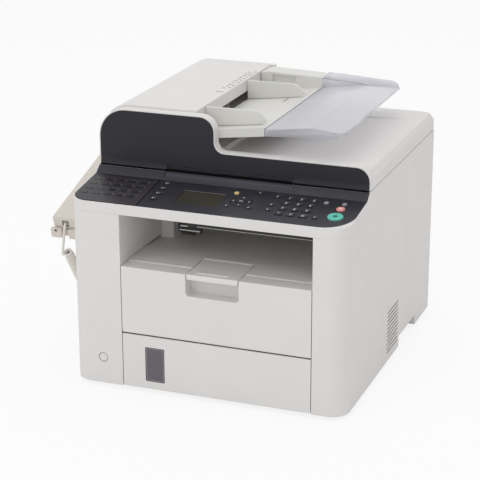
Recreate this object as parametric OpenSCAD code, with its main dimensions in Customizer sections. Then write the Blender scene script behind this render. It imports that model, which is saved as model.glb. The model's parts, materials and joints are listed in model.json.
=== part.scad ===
// Laser fax machine with a document feeder, a flatbed scanner and a handset on its left side.
// Body coordinates: X from the left side, Y from the front, Z from the underside of the covers.

/* [Body] */
// Width of the main body
body_w = 390; // [376:1:410]
// Depth of the main body
body_d = 432; // [424:1:450]
// Wall thickness of the outer covers
wall = 3; // [2.4:0.2:3.6]
// Radius of the two front corners
corner_r = 25; // [18:1:30]
// Height of the rubber feet
foot_h = 5; // [3:1:10]
// Width of the left front pillar
pillar_left = 74.5; // [70:0.5:80]
// Width of the right front pillar
pillar_right = 46; // [42:0.5:50]
// Height of the side covers
side_top = 245; // [240:1:252]
// Height of the side covers at the rear corner
rear_top = 258; // [253:1:262]
// Length of the raised rear corner of the side cover's top edge
rear_step_l = 48; // [40:1:60]
// Gap round covers that open
cover_gap = 0.8; // [0.5:0.1:1.2]
// Radial clearance of hinge pins and shafts in their bores
pin_clear = 0.05; // [0.03:0.01:0.08]

/* [Cassette and front cover] */
// Top edge of the paper cassette's front
cassette_top = 77; // [70:0.1:80]
// Top edge of the front cover
cover_top = 173.3; // [166:0.1:177]
// Depth of the front cover's top strip
cover_strip = 26; // [22:1:30]
// Distance of the front cover's hinge pin from its front face and bottom edge
cover_pin_in = 3.2; // [3:0.1:4]
// Radius of the front cover's hinge pins
cover_pin_r = 1.8; // [1.4:0.1:2]
// Width of the paper tray inside the cassette
tray_w = 250; // [240:1:256]
// Length of the paper tray behind the cassette's front
tray_l = 340; // [320:1:350]
// Height of the paper tray's sides
tray_h = 62; // [45:1:64]
// Width of the paper that the guides hold
paper_w = 210; // [180:1:216]
// Left edge of the paper level window
window_x = 108.5; // [104:0.5:116]
// Width of the paper level window
window_w = 27.4; // [18:0.2:30]
// Lower edge of the paper level window
window_z = 12; // [9:0.1:14]
// Height of the paper level window
window_h = 49.3; // [30:0.1:51]
// Left edge of the paper stop and of the hand recess below it
stop_x = 169.4; // [160:0.2:175]
// Width of the paper stop
stop_w = 72.6; // [60:0.2:80]
// Length of the paper stop, front to back
stop_l = 65.5; // [55:0.5:67]
// Bottom of the hand recess in the front cover
recess_z = 142.7; // [136:0.1:149]
// Depth of the hand recess
recess_d = 20; // [14:1:21]

/* [Scanner and panel] */
// Top of the scanner housing
scanner_top = 280.4; // [279:0.1:285]
// Height of the operation panel at its front edge
panel_front_z = 259; // [257:0.1:261]
// Rise of the operation panel for each millimetre of depth
panel_slope = 0.138; // [0.12:0.001:0.15]
// Depth of the operation panel
panel_d = 99.6; // [99:0.1:100]
// Thickness of the operation panel
panel_t = 4; // [3:0.5:5]
// Radius of the operation panel's right front corner
panel_r = 40; // [30:1:45]
// Travel of the keys
key_travel = 0.8; // [0.5:0.1:1]
// Gap round each key
key_gap = 0.35; // [0.25:0.05:0.5]
// Pitch of the number keys, side to side
number_pitch_x = 16.6; // [15:0.1:17]
// Pitch of the key rows, front to back
key_pitch_y = 15.3; // [14:0.1:16]
// Diameter of the start key
start_d = 21; // [17:0.5:22]
// Diameter of the stop key
stop_d = 11.5; // [10:0.5:13]
// Diameter of the round navigation key
nav_d = 29; // [22:1:30]
// Width of the display window
lcd_w = 61; // [55:1:64]
// Depth of the display window
lcd_d = 39.5; // [32:0.5:42]
// Length of the flatbed glass, side to side
glass_l = 303; // [297:1:308]
// Width of the flatbed glass, front to back
glass_w = 222; // [216:1:228]
// Travel of the scanning carriage
carriage_travel = 290; // [250:1:300]

/* [Document feeder] */
// Top of the feeder
feeder_top = 364; // [360:0.5:370]
// Top of the feeder's black front
face_top = 361; // [357:0.5:364]
// Height of the low right part of the feeder's front
face_low = 313; // [309:0.5:317]
// Radius of the feeder's upper left edge
feeder_r = 40; // [32:1:44]
// Right edge of the feeder's tall front
face_w = 171.5; // [168:0.5:176]
// Depth at which the feeder starts
feeder_y = 99.9; // [99.9:0.1:101]
// Thickness of the feeder's front wall
feeder_wall = 15; // [12:0.5:16]
// Width of the feeder's opening cover
feeder_cover_w = 140; // [136:0.5:144]
// Height of the document slot's upper edge
slot_z = 346; // [344:0.5:350]
// Distance between the two document guides
document_w = 158; // [140:1:170]
// Height of the document tray's surface beside the slot
tray_z = 335; // [332:0.5:338]
// Rise of the document tray for each millimetre to the right
tray_rise = 0.121; // [0.1:0.001:0.14]
// Right edge of the document tray
tray_right = 236; // [230:1:240]
// Right edge of the clear tray extension
extension_right = 347; // [335:1:360]
// Thickness of the clear tray extension
extension_t = 2.4; // [2:0.2:3]

/* [Handset] */
// Width of the handset
handset_w = 48; // [40:1:50]
// Length of the handset
handset_l = 196; // [175:1:205]
// Height of the handset
handset_h = 21; // [19:0.5:24]
// Distance of the handset's inner side from the body
handset_x = 12; // [10:0.5:18]
// Slope of the cradle, in degrees
cradle_tilt = 17; // [13:1:19]
// Depth at which the handset's lower front edge lies
handset_y = 73; // [66:1:80]
// Height of the handset's lower front edge
handset_z = 188.5; // [184:0.5:193]
// Width of the cradle's rim outside the handset
cradle_rim = 2; // [1.5:0.1:3]
// Diameter of the handset cord's wire
cord_d = 3.6; // [3.2:0.1:4.2]
// Outer diameter of the curled cord
curl_d = 14; // [12:0.5:15]

/* [Hidden] */
$fn = 64;

// Colours
shell_c = [0.85, 0.85, 0.85];
black_c = [0.16, 0.16, 0.19];
dark_c = [0.25, 0.25, 0.27];
steel_c = [0.68, 0.69, 0.71];
board_c = [0.13, 0.35, 0.22];
beige_c = [0.83, 0.80, 0.75];
clear_c = [0.78, 0.78, 0.83, 0.5];
rubber_c = [0.2, 0.2, 0.2];

// Overcut past a face, so that a cut goes right through
eps = 1;

// Places shared by several pieces
bay_l = pillar_left;
bay_r = body_w - pillar_right;
bay_mid = (bay_l + bay_r) / 2;
rear_in = body_d - wall;
hinge_back = 5;
hinge_z = scanner_top + 5;
hinge_r = 6;
cradle_reach = handset_x + handset_w + cradle_rim;
mid_x = (body_w - cradle_reach) / 2;
mid_y = (body_d + hinge_back + hinge_r) / 2;

// Side plates of the print engine
plate_t = 1.6;
plate_l = bay_l - wall - plate_t;
plate_r = bay_r + wall;
plate_y0 = 34;
plate_y1 = body_d - 30;
floor_t = 3;
rail_top = 14;
bay_wall_d = 143;
lower_wall_d = 30;
exit_y = 290;

// Rear corner of the side covers, and the hand notch in the lower edge of the right one
rear_rise_y = body_d - rear_step_l;
notch_y0 = body_d - 169;
notch_y1 = notch_y0 + 90;
notch_in = 30;
vent_pitch = 6;
vent_h = 3;
vent_count = 11;
vent_z = 11.7;

// Fan behind the vents
fan_half = 28;
fan_y = notch_y0 - fan_half - 6;
fan_z = rail_top + fan_half;

// Feet, screws, power button and handset socket
feet_at = [for (x = [40, body_w - 30], y = [40, body_d - 45]) [x, y]];
screw_r = 1.5;
screws_z = [20, 218];
power_x = 45.7;
power_z = 37.8;
power_r = 6;
socket_y = 205;
socket_z = 93.7;

// Rear door
door_x0 = 60;
door_x1 = body_w - 60;
door_z0 = 65;
door_z1 = 236;
door_pin_in = 2.8;
door_pin_r = 1.6;
door_axis_y = body_d - door_pin_in;
door_axis_z = door_z0 + cover_gap + door_pin_in;
door_ribs = 5;

// Rear sockets
inlet_x = body_w - 45;
inlet_z = 19;
inlet_w = 28;
inlet_h = 21;
ports_x = 18;
ports_z = 64;
ports_w = 16;
port_count = 4;
port_pitch = 19.5;
ports_h = port_count * port_pitch;

// Front cover
cover_side = cover_gap;
cover_z0 = cassette_top + 1.3;
cover_axis_y = cover_pin_in;
cover_axis_z = cover_z0 + cover_pin_in;

// Paper stop
stop_axis_y = stop_l - 1.5;
stop_t = 3;
stop_gap = 1.2;
stop_top = cover_top + 0.3;
stop_pin_r = 1.2;

// Operation panel and keys
tilt = atan(panel_slope);
key_h = 7;
key_proud = 1.2;
number_x = body_w - 101.7;
number_y = 26.1;
function_x = 112;
touch_x = 13;
touch_pitch_x = 17;
nav_x = 229;
nav_y = 48.5;
lcd_x = 142;
lcd_y = 24.2;
key_w = 11.5;
key_l = 8.2;
touch_w = 9;
touch_l = 6;
menu_r = 3.4;

// Scanner
glass_t = 2.4;
rail_y = 235;
hinge_ear = 12;
hinge_places = [52, body_w - 52 - hinge_ear];
hinge_pin_r = 3;

// Feeder
feeder_back = body_d - 13;
face_rim = 1.8;
front_wall_y0 = feeder_y + 2;
front_wall_y1 = feeder_y + 2 + feeder_wall;
lid_z0 = scanner_top + 0.7;
lid_z1 = 310;
lid_in = 0.8;
pad_t = 5;
grip_h = 8;
feeder_z = 320;
guide_mid_y = front_wall_y1 + 111;
guide_t = 4;
tray_t = 9.8;
tray_x0 = feeder_cover_w + 1;
rear_block_y = body_d - 65;
rear_block_l = 34;
block_fall = 3;
extension_knee = 64;
extension_fall = 4;
cover_axis_x = 7;
feeder_axis_z = feeder_z + 5;
feeder_pin_r = 2;
stand_half = 60;

// Document guides
guide_slot_x = 195;
rack_z = tray_z + 0.2;
rack_h = 3;
rack_stem = 1.8;
pinion_pin_r = 2;
pinion_r = 8;
rack_w = 4;
rack_off = pinion_r + rack_w / 2 + 0.2;

// Cassette
cassette_y1 = tray_l;
tray_x = bay_mid - tray_w / 2;
tray_floor_z = floor_t + 0.6;
tray_wall = 2.5;
tray_in_z = tray_floor_z + tray_wall;
lift_half = 83;
lift_axis_y = 204;
lift_pin_r = 1.5;

// Laser unit, toner cartridge and power supply
laser_y0 = 130;
laser_y1 = 250;
laser_z = 126;
laser_h = 18;
mirror_r = 18;
drum_r = 18;
drum_y = 175;
drum_z = 100;
toner_y = 84;
toner_h = 36;
supply_x = bay_r + wall + plate_t + 6;
supply_y0 = notch_y0 + 1;
supply_y1 = body_d - 38;
supply_t = 1.6;
supply_z = 22;
supply_h = 88;

// Handset: its sides, the jack in its front end and the two pods that it rests on
hx0 = -handset_x - handset_w;
hx1 = -handset_x;
jack_x = hx0 + 20;
jack_w = 10.4;
jack_z = 9.4;
pod = 46;
hook_y = handset_l - pod - 14;
hook_r = 3;

// Rollers
fuser_y = body_d - 68;
fuser_z = 128;
fuser_r = 12;
pressure_r = 11.8;
pickup_y = 62;
pickup_z = 84;
pickup_r = 11;
exit_z = 219.4;
exit_r = 6;
shaft_r = 3;
feed_x = 112;
feed_z = 341;
feed_r = 10;

// Handset cord, in body coordinates: its straight tail, the axis of its curl and its end at the socket
tail_points = [[-40, 70.1, 197.3], [-40, 68.9, 196.9], [-40, 67.2, 195.1], [-40.2, 66.4, 191.9],
    [-41, 66, 183], [-41.8, 65.6, 174], [-42.4, 65.6, 167], [-42, 67.2, 161], [-38.6, 72, 156.5]];
curl_points = [[-38.6, 72, 156.5], [-39, 77, 149.5], [-39.5, 84, 140], [-40, 91, 130.5], [-40, 98, 120.5],
    [-39, 106, 107.5], [-37, 115, 93.5], [-34, 127, 77], [-30, 141, 64], [-26, 157, 57.5],
    [-21, 171, 59.5], [-16, 183, 67], [-12, 192, 77.7]];
end_points = [[-12, 192, 77.7], [-10.5, 196, 84], [-9, 200, 89.3], [-7, 203, 92.5],
    [-4.5, 204.6, 93.6], [-2, 205, 93.7]];

module place() { translate([-mid_x, -mid_y, foot_h]) children(); }

// Prisms along each axis: a drawing in the plane across it, from one place to another
module along_x(x0, x1) { translate([x0, 0, 0]) rotate([90, 0, 90]) linear_extrude(x1 - x0) children(); }
module along_y(y0, y1) { translate([0, y1, 0]) rotate([90, 0, 0]) linear_extrude(y1 - y0) children(); }
module along_z(z0, z1) { translate([0, 0, z0]) linear_extrude(z1 - z0) children(); }
module box(low, high) { translate(low) cube(high - low); }
module rod_x(x0, x1, y, z, r) { translate([x0, y, z]) rotate([0, 90, 0]) cylinder(h = x1 - x0, r = r); }
module rod_y(y0, y1, x, z, r) { translate([x, y0, z]) rotate([-90, 0, 0]) cylinder(h = y1 - y0, r = r); }
module rod_z(z0, z1, x, y, r) { translate([x, y, z0]) cylinder(h = z1 - z0, r = r); }

// Rectangle with round corners, from exact circles
module round_rect(low, high, r) {
    translate([low[0] + r, low[1]]) square([high[0] - low[0] - 2 * r, high[1] - low[1]]);
    translate([low[0], low[1] + r]) square([high[0] - low[0], high[1] - low[1] - 2 * r]);
    for (x = [low[0] + r, high[0] - r], y = [low[1] + r, high[1] - r]) translate([x, y]) circle(r);
}

// Outline of the body from above, drawn in by inset
module plan(inset = 0) {
    r = corner_r - inset;
    translate([inset + r, inset]) square([body_w - 2 * inset - 2 * r, body_d - 2 * inset]);
    translate([inset, inset + r]) square([body_w - 2 * inset, body_d - 2 * inset - r]);
    for (x = [inset + r, body_w - inset - r]) translate([x, inset + r]) circle(r);
}

// Side view of the covers below the scanner
module side_view() {
    polygon([[0, 0], [body_d, 0], [body_d, rear_top], [rear_rise_y + 10, rear_top],
        [rear_rise_y, side_top], [0, side_top]]);
}

// Outer skin of one side cover between two places across the body
module side_skin(x0, x1) {
    intersection() {
        along_z(0, rear_top) difference() {
            plan();
            plan(wall);
            translate([0, rear_in]) square([body_w, body_d]);
        }
        along_x(x0, x1) side_view();
    }
}

// Height of the operation panel's surface at a depth
function panel_z(y) = panel_front_z + panel_slope * y;

// Puts a key or a cut on the panel's surface, its own Z along the panel's normal
module on_panel(x, y) { translate([x, y, panel_z(y)]) rotate([tilt, 0, 0]) children(); }

// Bosses and holes for the screws that hold the rear panel
module screw_bosses(x, edge) {
    for (z = screws_z) {
        rod_y(rear_in - 14, rear_in, x, z, 4);
        box([min(x, edge), rear_in - 14, z - 2], [max(x, edge), rear_in, z + 2]);
    }
}
module screw_holes() {
    for (x = [8, body_w - 8], z = screws_z) rod_y(rear_in - 12, body_d + eps, x, z, screw_r + pin_clear);
}

module cover_pin_bore(x0, x1) { rod_x(x0, x1, cover_axis_y, cover_axis_z, cover_pin_r + pin_clear); }

module base_frame() {
    color(dark_c) difference() {
        union() {
            along_z(0, floor_t) difference() {
                plan(wall);
                translate([bay_l - eps, 0]) square([bay_r - bay_l + 2 * eps, 8]);
                translate([body_w - notch_in, notch_y0 - 3]) square([notch_in, notch_y1 - notch_y0 + 6]);
            }
            // Rails on both sides of the cassette, which also carry the side plates and the fan
            for (x = [plate_l - 3, plate_r + plate_t])
                box([x, plate_y0, floor_t], [x + 3, plate_y1, rail_top]);
            for (x = [tray_x - 5, tray_x + tray_w + 1]) box([x, 12, floor_t], [x + 4, 330, 10]);
            // Cross wall behind the cassette
            box([plate_l + plate_t, tray_l + 12, floor_t], [plate_r, tray_l + 15, 60]);
        }
        for (at = feet_at) rod_z(-eps, floor_t + eps, at[0], at[1], 3);
    }
}

module left_cover() {
    color(shell_c) difference() {
        union() {
            side_skin(0, pillar_left);
            box([pillar_left - wall, 1, floor_t], [pillar_left, lower_wall_d, side_top]);
            box([pillar_left - wall, 1, cover_top + 1.2], [pillar_left, bay_wall_d, side_top]);
            screw_bosses(8, 1);
        }
        screw_holes();
        cover_pin_bore(pillar_left - wall - eps, pillar_left + eps);
        rod_y(-eps, wall + eps, power_x, power_z, power_r + 0.3);
        // Cut for the handset socket in the side wall
        box([-eps, socket_y - 8, socket_z - 8], [wall + eps, socket_y + 8, socket_z + 8]);
    }
}

module right_cover() {
    vent_y0 = fan_y - fan_half;
    vent_y1 = fan_y + fan_half;
    notch_h = 15;
    color(shell_c) difference() {
        union() {
            side_skin(body_w - pillar_right, body_w);
            box([bay_r, 1, floor_t], [bay_r + wall, lower_wall_d, side_top]);
            box([bay_r, 1, cover_top + 1.2], [bay_r + wall, bay_wall_d, side_top]);
            // Pocket behind the hand notch
            box([body_w - notch_in, notch_y0 - 3, 0], [body_w - wall, notch_y1 + 3, notch_h + 3]);
            screw_bosses(body_w - 8, body_w - 1);
        }
        screw_holes();
        cover_pin_bore(bay_r - eps, bay_r + wall + eps);
        for (i = [0 : vent_count - 1]) box([body_w - wall - eps, vent_y0, vent_z + i * vent_pitch],
            [body_w + eps, vent_y1, vent_z + vent_h + i * vent_pitch]);
        box([body_w - notch_in + wall, notch_y0, -eps], [body_w + eps, notch_y1, notch_h]);
    }
}

module rear_panel() {
    color(shell_c) difference() {
        union() {
            along_z(0, rear_top) difference() {
                plan();
                translate([-eps, -eps]) square([body_w + 2 * eps, rear_in + eps]);
            }
            // Bosses for the rear door's hinge pins
            for (x = [door_x0 - 8, door_x1]) box([x, body_d - 8, door_z0 - 2], [x + 8, body_d, door_z0 + 10]);
        }
        box([door_x0, rear_in - 10, door_z0], [door_x1, body_d + eps, door_z1]);
        rod_x(door_x0 - 8 - eps, door_x1 + 8 + eps, door_axis_y, door_axis_z, door_pin_r + pin_clear);
        screw_holes();
        // Openings for the sockets
        box([inlet_x, rear_in - 10, inlet_z], [inlet_x + inlet_w, body_d + eps, inlet_z + inlet_h]);
        box([ports_x, rear_in - 10, ports_z], [ports_x + ports_w, body_d + eps, ports_z + ports_h]);
    }
}

// Rear sockets: mains inlet on the right, network, USB and two line sockets on the left
module rear_sockets() {
    color(rubber_c) {
        difference() {
            box([inlet_x, rear_in - 22, inlet_z], [inlet_x + inlet_w, body_d - 0.5, inlet_z + inlet_h]);
            box([inlet_x + 2, rear_in - 16, inlet_z + 2],
                [inlet_x + inlet_w - 2, body_d, inlet_z + inlet_h - 2]);
        }
        for (i = [-1 : 1]) box([inlet_x + inlet_w / 2 + i * 7 - 1, rear_in - 18, inlet_z + 8],
            [inlet_x + inlet_w / 2 + i * 7 + 1, rear_in - 5, inlet_z + 13]);
        difference() {
            box([ports_x, rear_in - 18, ports_z], [ports_x + ports_w, body_d - 0.5, ports_z + ports_h]);
            for (i = [0 : port_count - 1]) box([ports_x + 2, rear_in - 12, ports_z + 2 + i * port_pitch],
                [ports_x + ports_w - 2, body_d, ports_z + 17 + i * port_pitch]);
        }
    }
}

module side_plates() {
    color(steel_c) difference() {
        for (x = [plate_l, plate_r]) box([x, plate_y0, floor_t], [x + plate_t, plate_y1, side_top - 4]);
        // Bores of the roller shafts
        rod_x(plate_l - eps, plate_r + plate_t + eps, fuser_y, fuser_z, shaft_r + pin_clear);
        rod_x(plate_l - eps, plate_r + plate_t + eps, fuser_y + fuser_r + pressure_r, fuser_z,
            shaft_r + pin_clear);
        rod_x(plate_l - eps, plate_r + plate_t + eps, pickup_y, pickup_z, shaft_r + pin_clear);
        rod_x(plate_l - eps, plate_r + plate_t + eps, exit_y, exit_z, shaft_r + pin_clear);
    }
}

// Side view of the output tray's floor: flat in front, dipping, then rising to the exit slot
module output_view(front, top, flat) {
    polygon([[front, top - 8], [front, top], [front + flat, top], [210, top - 10], [250, top - 7],
        [exit_y - 14, exit_z - 14], [exit_y - 14, exit_z - 10], [exit_y - 11, exit_z - 10],
        [exit_y - 11, exit_z - 18], [250, top - 11],
        [210, top - 14], [front + flat, top - 4], [front + 3, top - 4], [front + 3, top - 8]]);
}

// Tray for the printed sheets, between the pillars
module output_tray() {
    x0 = bay_l;
    x1 = bay_r;
    front = cover_strip + 1;
    top = cover_top + 0.8;
    flat = 45;
    step = 17.5;
    color(dark_c) {
        difference() {
            union() {
                along_x(x0, x1) output_view(front, top, flat);
                along_x(plate_l + plate_t, plate_r) intersection() {
                    output_view(front, top, flat);
                    translate([lower_wall_d + 1, 0]) square([body_d, body_d]);
                }
                // Shoulders on both sides of the rear half
                box([plate_l + plate_t, bay_wall_d, top - 12], [x0 + step, exit_y - 11, side_top]);
                box([x1 - step, bay_wall_d, top - 12], [plate_r, exit_y - 11, side_top]);
            }
            // Seat of the paper stop
            box([stop_x - stop_gap, 0, top - 20], [stop_x + stop_w + stop_gap, stop_l + 1.2, top + eps]);
            rod_x(stop_x - 6, stop_x + stop_w + 6, stop_axis_y, stop_top - 1.5, stop_pin_r + pin_clear);
        }
        // Ledge under the paper stop
        difference() {
            box([stop_x - stop_gap - 3, front, top - 9], [stop_x + stop_w + stop_gap + 3, stop_l + 4.2,
                stop_top - stop_t - 0.5]);
            box([stop_x + 8, 0, top - 7], [stop_x + stop_w - 8, stop_l - 8, top]);
        }
    }
}

module front_cover() {
    x0 = bay_l + cover_side;
    x1 = bay_r - cover_side;
    cut_x0 = stop_x - stop_gap;
    cut_x1 = stop_x + stop_w + stop_gap;
    rib_y = 20;
    color(shell_c) difference() {
        union() {
            // Front, top strip and end ribs
            along_x(x0, x1) difference() {
                union() {
                    translate([0, cover_axis_z]) square([wall, cover_top - cover_axis_z]);
                    translate([0, cover_top - wall]) square([cover_strip, wall]);
                    translate([cover_axis_y, cover_axis_z]) circle(cover_pin_in);
                }
            }
            for (x = [x0, x1 - wall]) along_x(x, x + wall)
                polygon([[1, cover_axis_z], [6, cover_axis_z], [cover_strip, cover_top - 30],
                    [cover_strip, cover_top - 1], [1, cover_top - 1]]);
            // Walls of the hand recess
            along_y(1, recess_d + 2.5) round_rect([cut_x0 - 2.5, recess_z - 2.5],
                [cut_x1 + 2.5, cover_top - 0.5], 8);
            rod_x(x0 - wall, x1 + wall, cover_axis_y, cover_axis_z, cover_pin_r);
        }
        along_y(-eps, recess_d) round_rect([cut_x0, recess_z], [cut_x1, cover_top + 20], 5);
        box([cut_x0, -eps, cover_top - 12.5], [cut_x1, cover_strip + eps, cover_top + eps]);
    }
}

module paper_stop() {
    lip_h = 7.5;
    color(shell_c) {
        box([stop_x, 0.3, stop_top - stop_t], [stop_x + stop_w, stop_axis_y, stop_top]);
        along_y(0.3, 3.3) polygon([[stop_x + 1.2, stop_top - lip_h], [stop_x + stop_w - 1.2, stop_top - lip_h],
            [stop_x + stop_w, stop_top - stop_t], [stop_x + stop_w, stop_top], [stop_x, stop_top],
            [stop_x, stop_top - stop_t]]);
        rod_x(stop_x - stop_gap - 2.1, stop_x + stop_w + stop_gap + 2.1, stop_axis_y, stop_top - 1.5,
            stop_pin_r);
        rod_x(stop_x, stop_x + stop_w, stop_axis_y, stop_top - 1.5, 1.5);
    }
}

module cassette_tray() {
    x0 = bay_l + cover_side;
    x1 = bay_r - cover_side;
    lift_ear = 4;
    color(dark_c) difference() {
        union() {
            box([x0, 0, 1], [x1, 3.2, cassette_top]);
            box([tray_x, 3.2, tray_floor_z], [tray_x + tray_w, tray_l, tray_floor_z + tray_h]);
        }
        box([tray_x + tray_wall, 3.2, tray_in_z],
            [tray_x + tray_w - tray_wall, tray_l - tray_wall, tray_floor_z + tray_h + eps]);
        box([window_x, -eps, window_z], [window_x + window_w, 3.2 + eps, window_z + window_h]);
    }
    // Ears for the lift plate's hinge
    color(dark_c) for (x = [bay_mid - lift_half - lift_ear - 0.4, bay_mid + lift_half + 0.4]) difference() {
        box([x, lift_axis_y - 5, tray_in_z], [x + lift_ear, lift_axis_y + 5, tray_in_z + 9]);
        rod_x(x - eps, x + lift_ear + eps, lift_axis_y, tray_in_z + 4, lift_pin_r + pin_clear);
    }
}

module cassette_window() {
    color([0.36, 0.35, 0.37]) {
        box([window_x, 0.5, window_z], [window_x + window_w, 2.2, window_z + window_h]);
        difference() {
            box([window_x - 3, 3.2, window_z - 3], [window_x + window_w + 3, 4.6, window_z + window_h]);
            box([window_x + 2, 3, window_z + 2], [window_x + window_w - 2, 5, window_z + window_h - 3]);
        }
        for (x = [window_x, window_x + window_w - 2])
            box([x, 2.2, window_z], [x + 2, 3.2, window_z + window_h]);
    }
}

module lift_plate() {
    z = tray_in_z + 4;
    color(steel_c) {
        box([bay_mid - lift_half, 14, z - 0.6], [bay_mid + lift_half, lift_axis_y, z + 0.6]);
        rod_x(bay_mid - lift_half, bay_mid + lift_half, lift_axis_y, z, 2.2);
        rod_x(bay_mid - lift_half - 4, bay_mid + lift_half + 4, lift_axis_y, z, lift_pin_r);
    }
}

module paper_guide(side) {
    x = bay_mid + side * paper_w / 2;
    color(dark_c) {
        box([min(x, x + side * 2.5), lift_axis_y + 8, tray_in_z + 0.3],
            [max(x, x + side * 2.5), lift_axis_y + 110, tray_in_z + 42]);
        box([min(x, x + side * 14), lift_axis_y + 30, tray_in_z + 0.3],
            [max(x, x + side * 14), lift_axis_y + 75, tray_in_z + 2.3]);
    }
}

module cassette_guide_left() { paper_guide(-1); }
module cassette_guide_right() { paper_guide(1); }

module power_button() {
    color(shell_c) {
        rod_y(0, 9, power_x, power_z, power_r);
        rod_y(wall + 2.5, 6.5, power_x, power_z, power_r + 1.5);
    }
}

// Panel outline from above, with the larger corner on the right
module panel_plan(inset) {
    lx = 1.2 + inset;
    rx = body_w - 1.2 - inset;
    y0 = 2 + inset;
    lr = corner_r - 1.2 - inset;
    rr = panel_r - inset;
    translate([lx + lr, y0]) square([rx - rr - lx - lr, panel_d - y0 - inset]);
    translate([lx, y0 + rr]) square([rx - lx, panel_d - y0 - rr - inset]);
    translate([lx, y0 + lr]) square([lr, rr - lr]);
    translate([lx + lr, y0 + lr]) circle(lr);
    translate([rx - rr, y0 + rr]) circle(rr);
}

// Side view of the panel's skin, between two depths below its surface
module panel_view(low, high) {
    knee = panel_d - 11.6;
    polygon([[0, panel_z(0) - low], [knee, panel_z(knee) - low], [panel_d, scanner_top - 0.6 - low],
        [panel_d, scanner_top - 0.6 - high], [knee, panel_z(knee) - high], [0, panel_z(0) - high]]);
}

function number_keys_at() = [for (c = [0 : 2], r = [0 : 3])
    [number_x + c * number_pitch_x, number_y + r * key_pitch_y]];
function touch_keys_at() = [for (c = [0 : 4], r = [0 : 3])
    [touch_x + c * touch_pitch_x, number_y + r * key_pitch_y * 0.95]];
function function_keys_at() = [for (r = [0 : 3]) [function_x, number_y + 3 + r * key_pitch_y * 1.03]];
function menu_keys_at() = [[nav_x - 14.5, nav_y - 17], [nav_x + 16, nav_y - 16], [nav_x - 14.8, nav_y + 23],
    [nav_x + 16, nav_y + 30], [nav_x + 42, nav_y + 25], [nav_x + 42, nav_y], [nav_x + 42, nav_y - 15],
    [body_w - 51.3, 71.2], [body_w - 26.9, 72.3], [number_x + 49.2, number_y]];
stop_at = [body_w - 27.5, 57.4];
start_at = [body_w - 27.6, 34.6];

// Outline of a key cap, w wide and l deep with round ends
module cap(w, l) { round_rect([-w / 2, -l / 2], [w / 2, l / 2], l / 2 - 0.01); }
module key(at, w, l, proud = key_proud) {
    on_panel(at[0], at[1]) {
        translate([0, 0, proud - key_h]) linear_extrude(key_h) cap(w, l);
    }
}
module key_hole(at, w, l) {
    on_panel(at[0], at[1]) translate([0, 0, -panel_t * 3]) linear_extrude(panel_t * 6)
        cap(w + 2 * key_gap, l + 2 * key_gap);
}

module operation_panel() {
    color(black_c) difference() {
        intersection() {
            along_x(0, body_w) panel_view(panel_t, 0);
            along_z(panel_front_z - 10, scanner_top + 5) panel_plan(0);
        }
        for (at = number_keys_at()) key_hole(at, key_w, key_l);
        for (at = touch_keys_at()) key_hole(at, touch_w, touch_l);
        for (at = function_keys_at()) key_hole(at, touch_w, touch_l);
        for (at = menu_keys_at()) key_hole(at, 2 * menu_r, 2 * menu_r);
        key_hole([nav_x, nav_y], nav_d, nav_d);
        key_hole(stop_at, stop_d, stop_d);
        key_hole(start_at, start_d, start_d);
        on_panel(lcd_x, lcd_y) translate([0, 0, -1.5]) cube([lcd_w, lcd_d, 10]);
    }
}

module lcd_window() {
    color([0.23, 0.23, 0.17]) on_panel(lcd_x, lcd_y) translate([0.3, 0.3, -1.5])
        cube([lcd_w - 0.6, lcd_d - 0.6, 1.2]);
}

module number_keys() { color([0.3, 0.3, 0.33]) for (at = number_keys_at()) key(at, key_w, key_l); }
module one_touch_keys() {
    color([0.25, 0.25, 0.28]) for (at = touch_keys_at()) key(at, touch_w, touch_l, key_proud - 0.4);
}
module function_keys() { color([0.3, 0.3, 0.33]) for (at = function_keys_at()) key(at, touch_w, touch_l); }
module menu_keys() {
    color([0.3, 0.3, 0.33]) {
        for (at = menu_keys_at()) key(at, 2 * menu_r, 2 * menu_r);
        key([nav_x, nav_y], nav_d, nav_d);
    }
}
module start_key() { color([0.37, 0.79, 0.71]) key(start_at, start_d, start_d, 1.6); }
module stop_key() { color([0.91, 0.6, 0.55]) key(stop_at, stop_d, stop_d, 1.6); }

// Scanner housing: white box below the feeder, its front carrying the operation panel
module scanner_housing() {
    color(shell_c) difference() {
        union() {
            intersection() {
                along_x(0, body_w) polygon([[0, side_top], [rear_rise_y, side_top],
                    [rear_rise_y + 10, rear_top], [body_d, rear_top], [body_d, scanner_top],
                    [panel_d, scanner_top], [panel_d - 11.6, panel_z(panel_d - 11.6)], [0, panel_z(0)]]);
                along_z(side_top, scanner_top) plan();
            }
            // Lip that stands inside the raised rear corner of the covers
            box([wall + cover_gap, rear_rise_y - 20, side_top],
                [body_w - wall - cover_gap, rear_in - cover_gap, rear_top + wall]);
            for (x = hinge_places) box([x, body_d - 2, hinge_z - hinge_r - 14],
                [x + hinge_ear, body_d + hinge_back, hinge_z]);
            for (x = hinge_places) rod_x(x, x + hinge_ear, body_d + hinge_back, hinge_z, hinge_r);
        }
        // Seat of the operation panel and the space below it
        intersection() {
            along_x(0, body_w) panel_view(panel_t, -20);
            along_z(panel_front_z - 10, scanner_top + 30) panel_plan(0);
        }
        intersection() {
            along_x(0, body_w) polygon([[0, side_top + wall], [0, panel_z(0)], [panel_d, scanner_top + 20],
                [panel_d, side_top + wall]]);
            along_z(side_top + wall, scanner_top + 20) panel_plan(4);
        }
        // Space for the scanning carriage
        difference() {
            box([8, panel_d + 3, side_top + wall + 3], [body_w - 8, body_d - 9, scanner_top - 3.2]);
            box([8, rail_y - 2, side_top + wall], [body_w - 8, rail_y + 2, side_top + wall + 7]);
        }
        // Openings for the flatbed glass and the feeder's scanning strip, each with a ledge
        glass_panes(0, scanner_top - glass_t, scanner_top + eps);
        glass_panes(2, scanner_top - 6, scanner_top + eps);
        for (x = hinge_places) rod_x(x - eps, x + hinge_ear + eps, body_d + hinge_back, hinge_z,
            hinge_pin_r + pin_clear);
    }
}

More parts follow.
